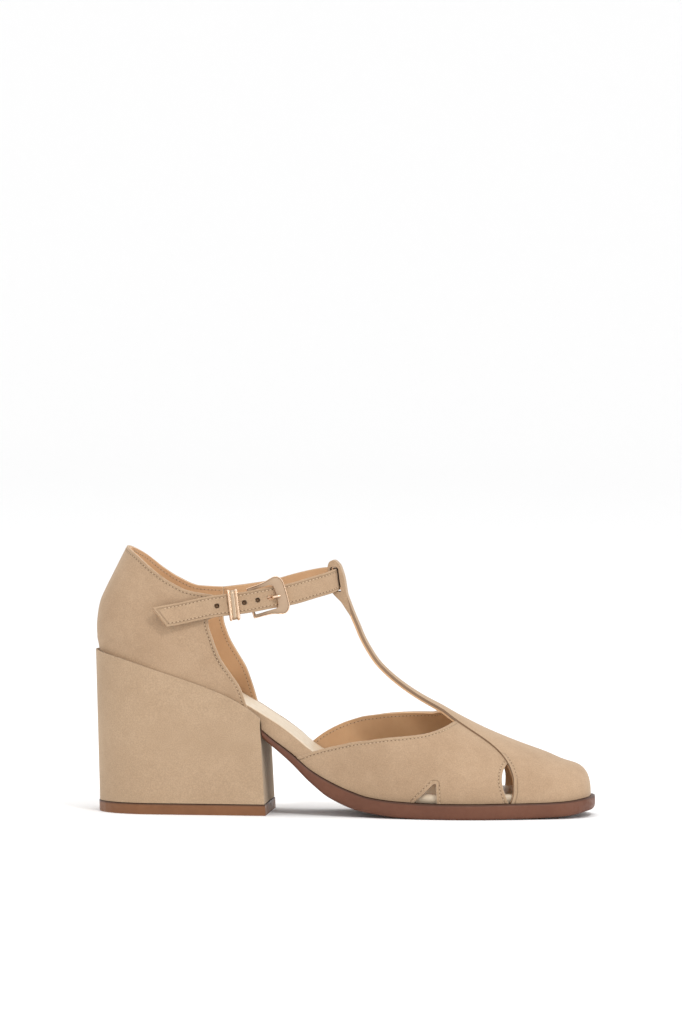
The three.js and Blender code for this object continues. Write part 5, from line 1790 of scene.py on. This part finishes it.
# %% The panels' stitches
panel_rows = []
for side, _ in SIDES:
    panel = panel_surface(side)
    stops = (TOPLINE_END + 0.4, NOTCH[0], NOTCH[0] + 2, NOTCH[1] - 1, NOTCH[1])
    top_end, back_start, back_end, front_start, front_end = [column / PANEL_COLUMNS for column in stops]
    for depth in (PANEL_STEP, PANEL_STEP + PANEL_SKIN + PANEL_LINING):
        topline_row = row_beside(lambda s: panel(s, 1), lambda s: panel(s, 0.95), 0.02, top_end, 900, depth)
        panel_rows.append(topline_row)
    rows = (
        (lambda t: panel(1, t), lambda t: panel(0.97, t), 0.06, 0.8, 400),
        (lambda s: panel(s, 0), lambda s: panel(s, 0.06), back_start, back_end, 260),
        (lambda s: panel(s, 0), lambda s: panel(s, 0) + Vector((1, 0, 0)), front_start, front_end, 260),
    )
    for row in rows:
        panel_rows.append(row_beside(*row, PANEL_STEP))
sew("panel_stitches", "upper", panel_rows)

# %% The strap's stitches
strap_rows = []
for side in (1, -1):
    across_it = side * (strap_half - STRAP_STITCH)
    row = []
    row_end = STRAP_LENGTH - ROW_END - (UPPER_ROW_SHORTER if side > 0 else 0)
    for run in steps(ROW_START, row_end, 1600):
        here = slanted(run, across_it)
        row.append((on_strap(here, across_it, STRAP_THICK / 2), strap_frame(round(here, 4))[3]))
    strap_rows.append(row)
sew("strap_stitches", "ankle_strap", strap_rows)

# %% [markdown]
# ## Floor, light and camera
#
# The shoe stands on a pale floor that sweeps up far behind it, so no horizon shows. Large soft
# lamps light it from the front right and from above. The camera stands where the photograph
# was taken from: a long lens, a few degrees round from the side and above the floor.


# %% Floor with a sweep behind it
def make_floor():
    made = bmesh.new()
    bmesh.ops.create_grid(made, x_segments=8, y_segments=96, size=0.5)
    wide, deep, front, bend_at, bend = 30, 26, -12, 7, 3  # metres
    for vertex in made.verts:
        x, run = vertex.co.x * wide, (vertex.co.y + 0.5) * deep + front
        turn = clamp((run - bend_at) / (bend * pi / 2)) * pi / 2
        above = max(run - bend_at - bend * pi / 2, 0)
        y = min(run, bend_at) + bend * sin(turn)
        vertex.co = (x, y, bend * (1 - cos(turn)) + above)
    for face in made.faces:
        face.smooth = True
    floor_piece = to_object(made, "floor")
    material, _, shader = new_material("pale floor")
    shader.inputs["Base Color"].default_value = (0.93, 0.93, 0.93, 1)
    shader.inputs["Roughness"].default_value = 0.9
    shader.inputs["Specular IOR Level"].default_value = 0.1
    floor_piece.data.materials.append(material)


make_floor()


# %% Soft studio light
def lamp(name, at, size, power, target=(0, 0, 0.05)):
    light = bpy.data.lights.new(name, "AREA")
    light.shape = "SQUARE"
    light.size = size
    light.energy = power
    made = bpy.data.objects.new(name, light)
    made.location = at
    way = Vector(at) - Vector(target)
    made.rotation_euler = way.to_track_quat("Z", "Y").to_euler()
    bpy.context.collection.objects.link(made)


lamp("key", (0.95, -1.6, 1.9), 0.36, 22)
lamp("fill", (-1.8, -1.6, 1.1), 1.5, 5)
lamp("top", (0.2, 0.3, 2.3), 1.4, 6)
lamp("side", (2.4, -0.7, 0.5), 0.8, 9, (-0.04, 0, 0.04))
world = bpy.data.worlds.new("studio")
world.use_nodes = True
world.node_tree.nodes["Background"].inputs["Color"].default_value = (1, 1, 1, 1)
world.node_tree.nodes["Background"].inputs["Strength"].default_value = 1.07
bpy.context.scene.world = world
bpy.context.scene.view_settings.view_transform = "Standard"

# %% The camera
PHOTO_WIDTH = 682
PHOTO_HEIGHT = 1024
AZIMUTH = radians(4.7)
ELEVATION = radians(3.7)
ROLL = radians(0.4)
DISTANCE = 3000
FOCAL = 6000  # in the photograph's pixels
AIM = Vector((0, 0, 45))
AIM_PIXEL = (345.0, 722.5)
SENSOR = 36


def make_camera():
    """Aims so that one point of the shoe falls on its own pixel, then rolls."""
    back = Vector((sin(AZIMUTH) * cos(ELEVATION), -cos(AZIMUTH) * cos(ELEVATION), sin(ELEVATION)))
    forward = -back
    level = Vector((cos(AZIMUTH), sin(AZIMUTH), 0))
    upright = level.cross(forward)
    right = level * cos(ROLL) + upright * sin(ROLL)
    up = upright * cos(ROLL) - level * sin(ROLL)
    dx, dy = AIM_PIXEL[0] - PHOTO_WIDTH / 2, AIM_PIXEL[1] - PHOTO_HEIGHT / 2
    yaw, pitch = atan2(dx, FOCAL), atan2(dy, hypot(FOCAL, dx))
    turned = forward * cos(yaw) - right * sin(yaw)
    right = forward * sin(yaw) + right * cos(yaw)
    looking = turned * cos(pitch) + up * sin(pitch)
    up = up * cos(pitch) - turned * sin(pitch)
    camera = bpy.data.cameras.new("camera")
    camera.sensor_fit = "VERTICAL"
    camera.sensor_height = SENSOR
    camera.lens = SENSOR * FOCAL / PHOTO_HEIGHT
    camera.clip_end = 100
    made = bpy.data.objects.new("camera", camera)
    turn = Matrix((right, up, -looking)).transposed()
    made.matrix_world = Matrix.Translation((AIM + SHIFT + back * DISTANCE) * MM) @ turn.to_4x4()
    bpy.context.collection.objects.link(made)
    bpy.context.scene.camera = made


make_camera()
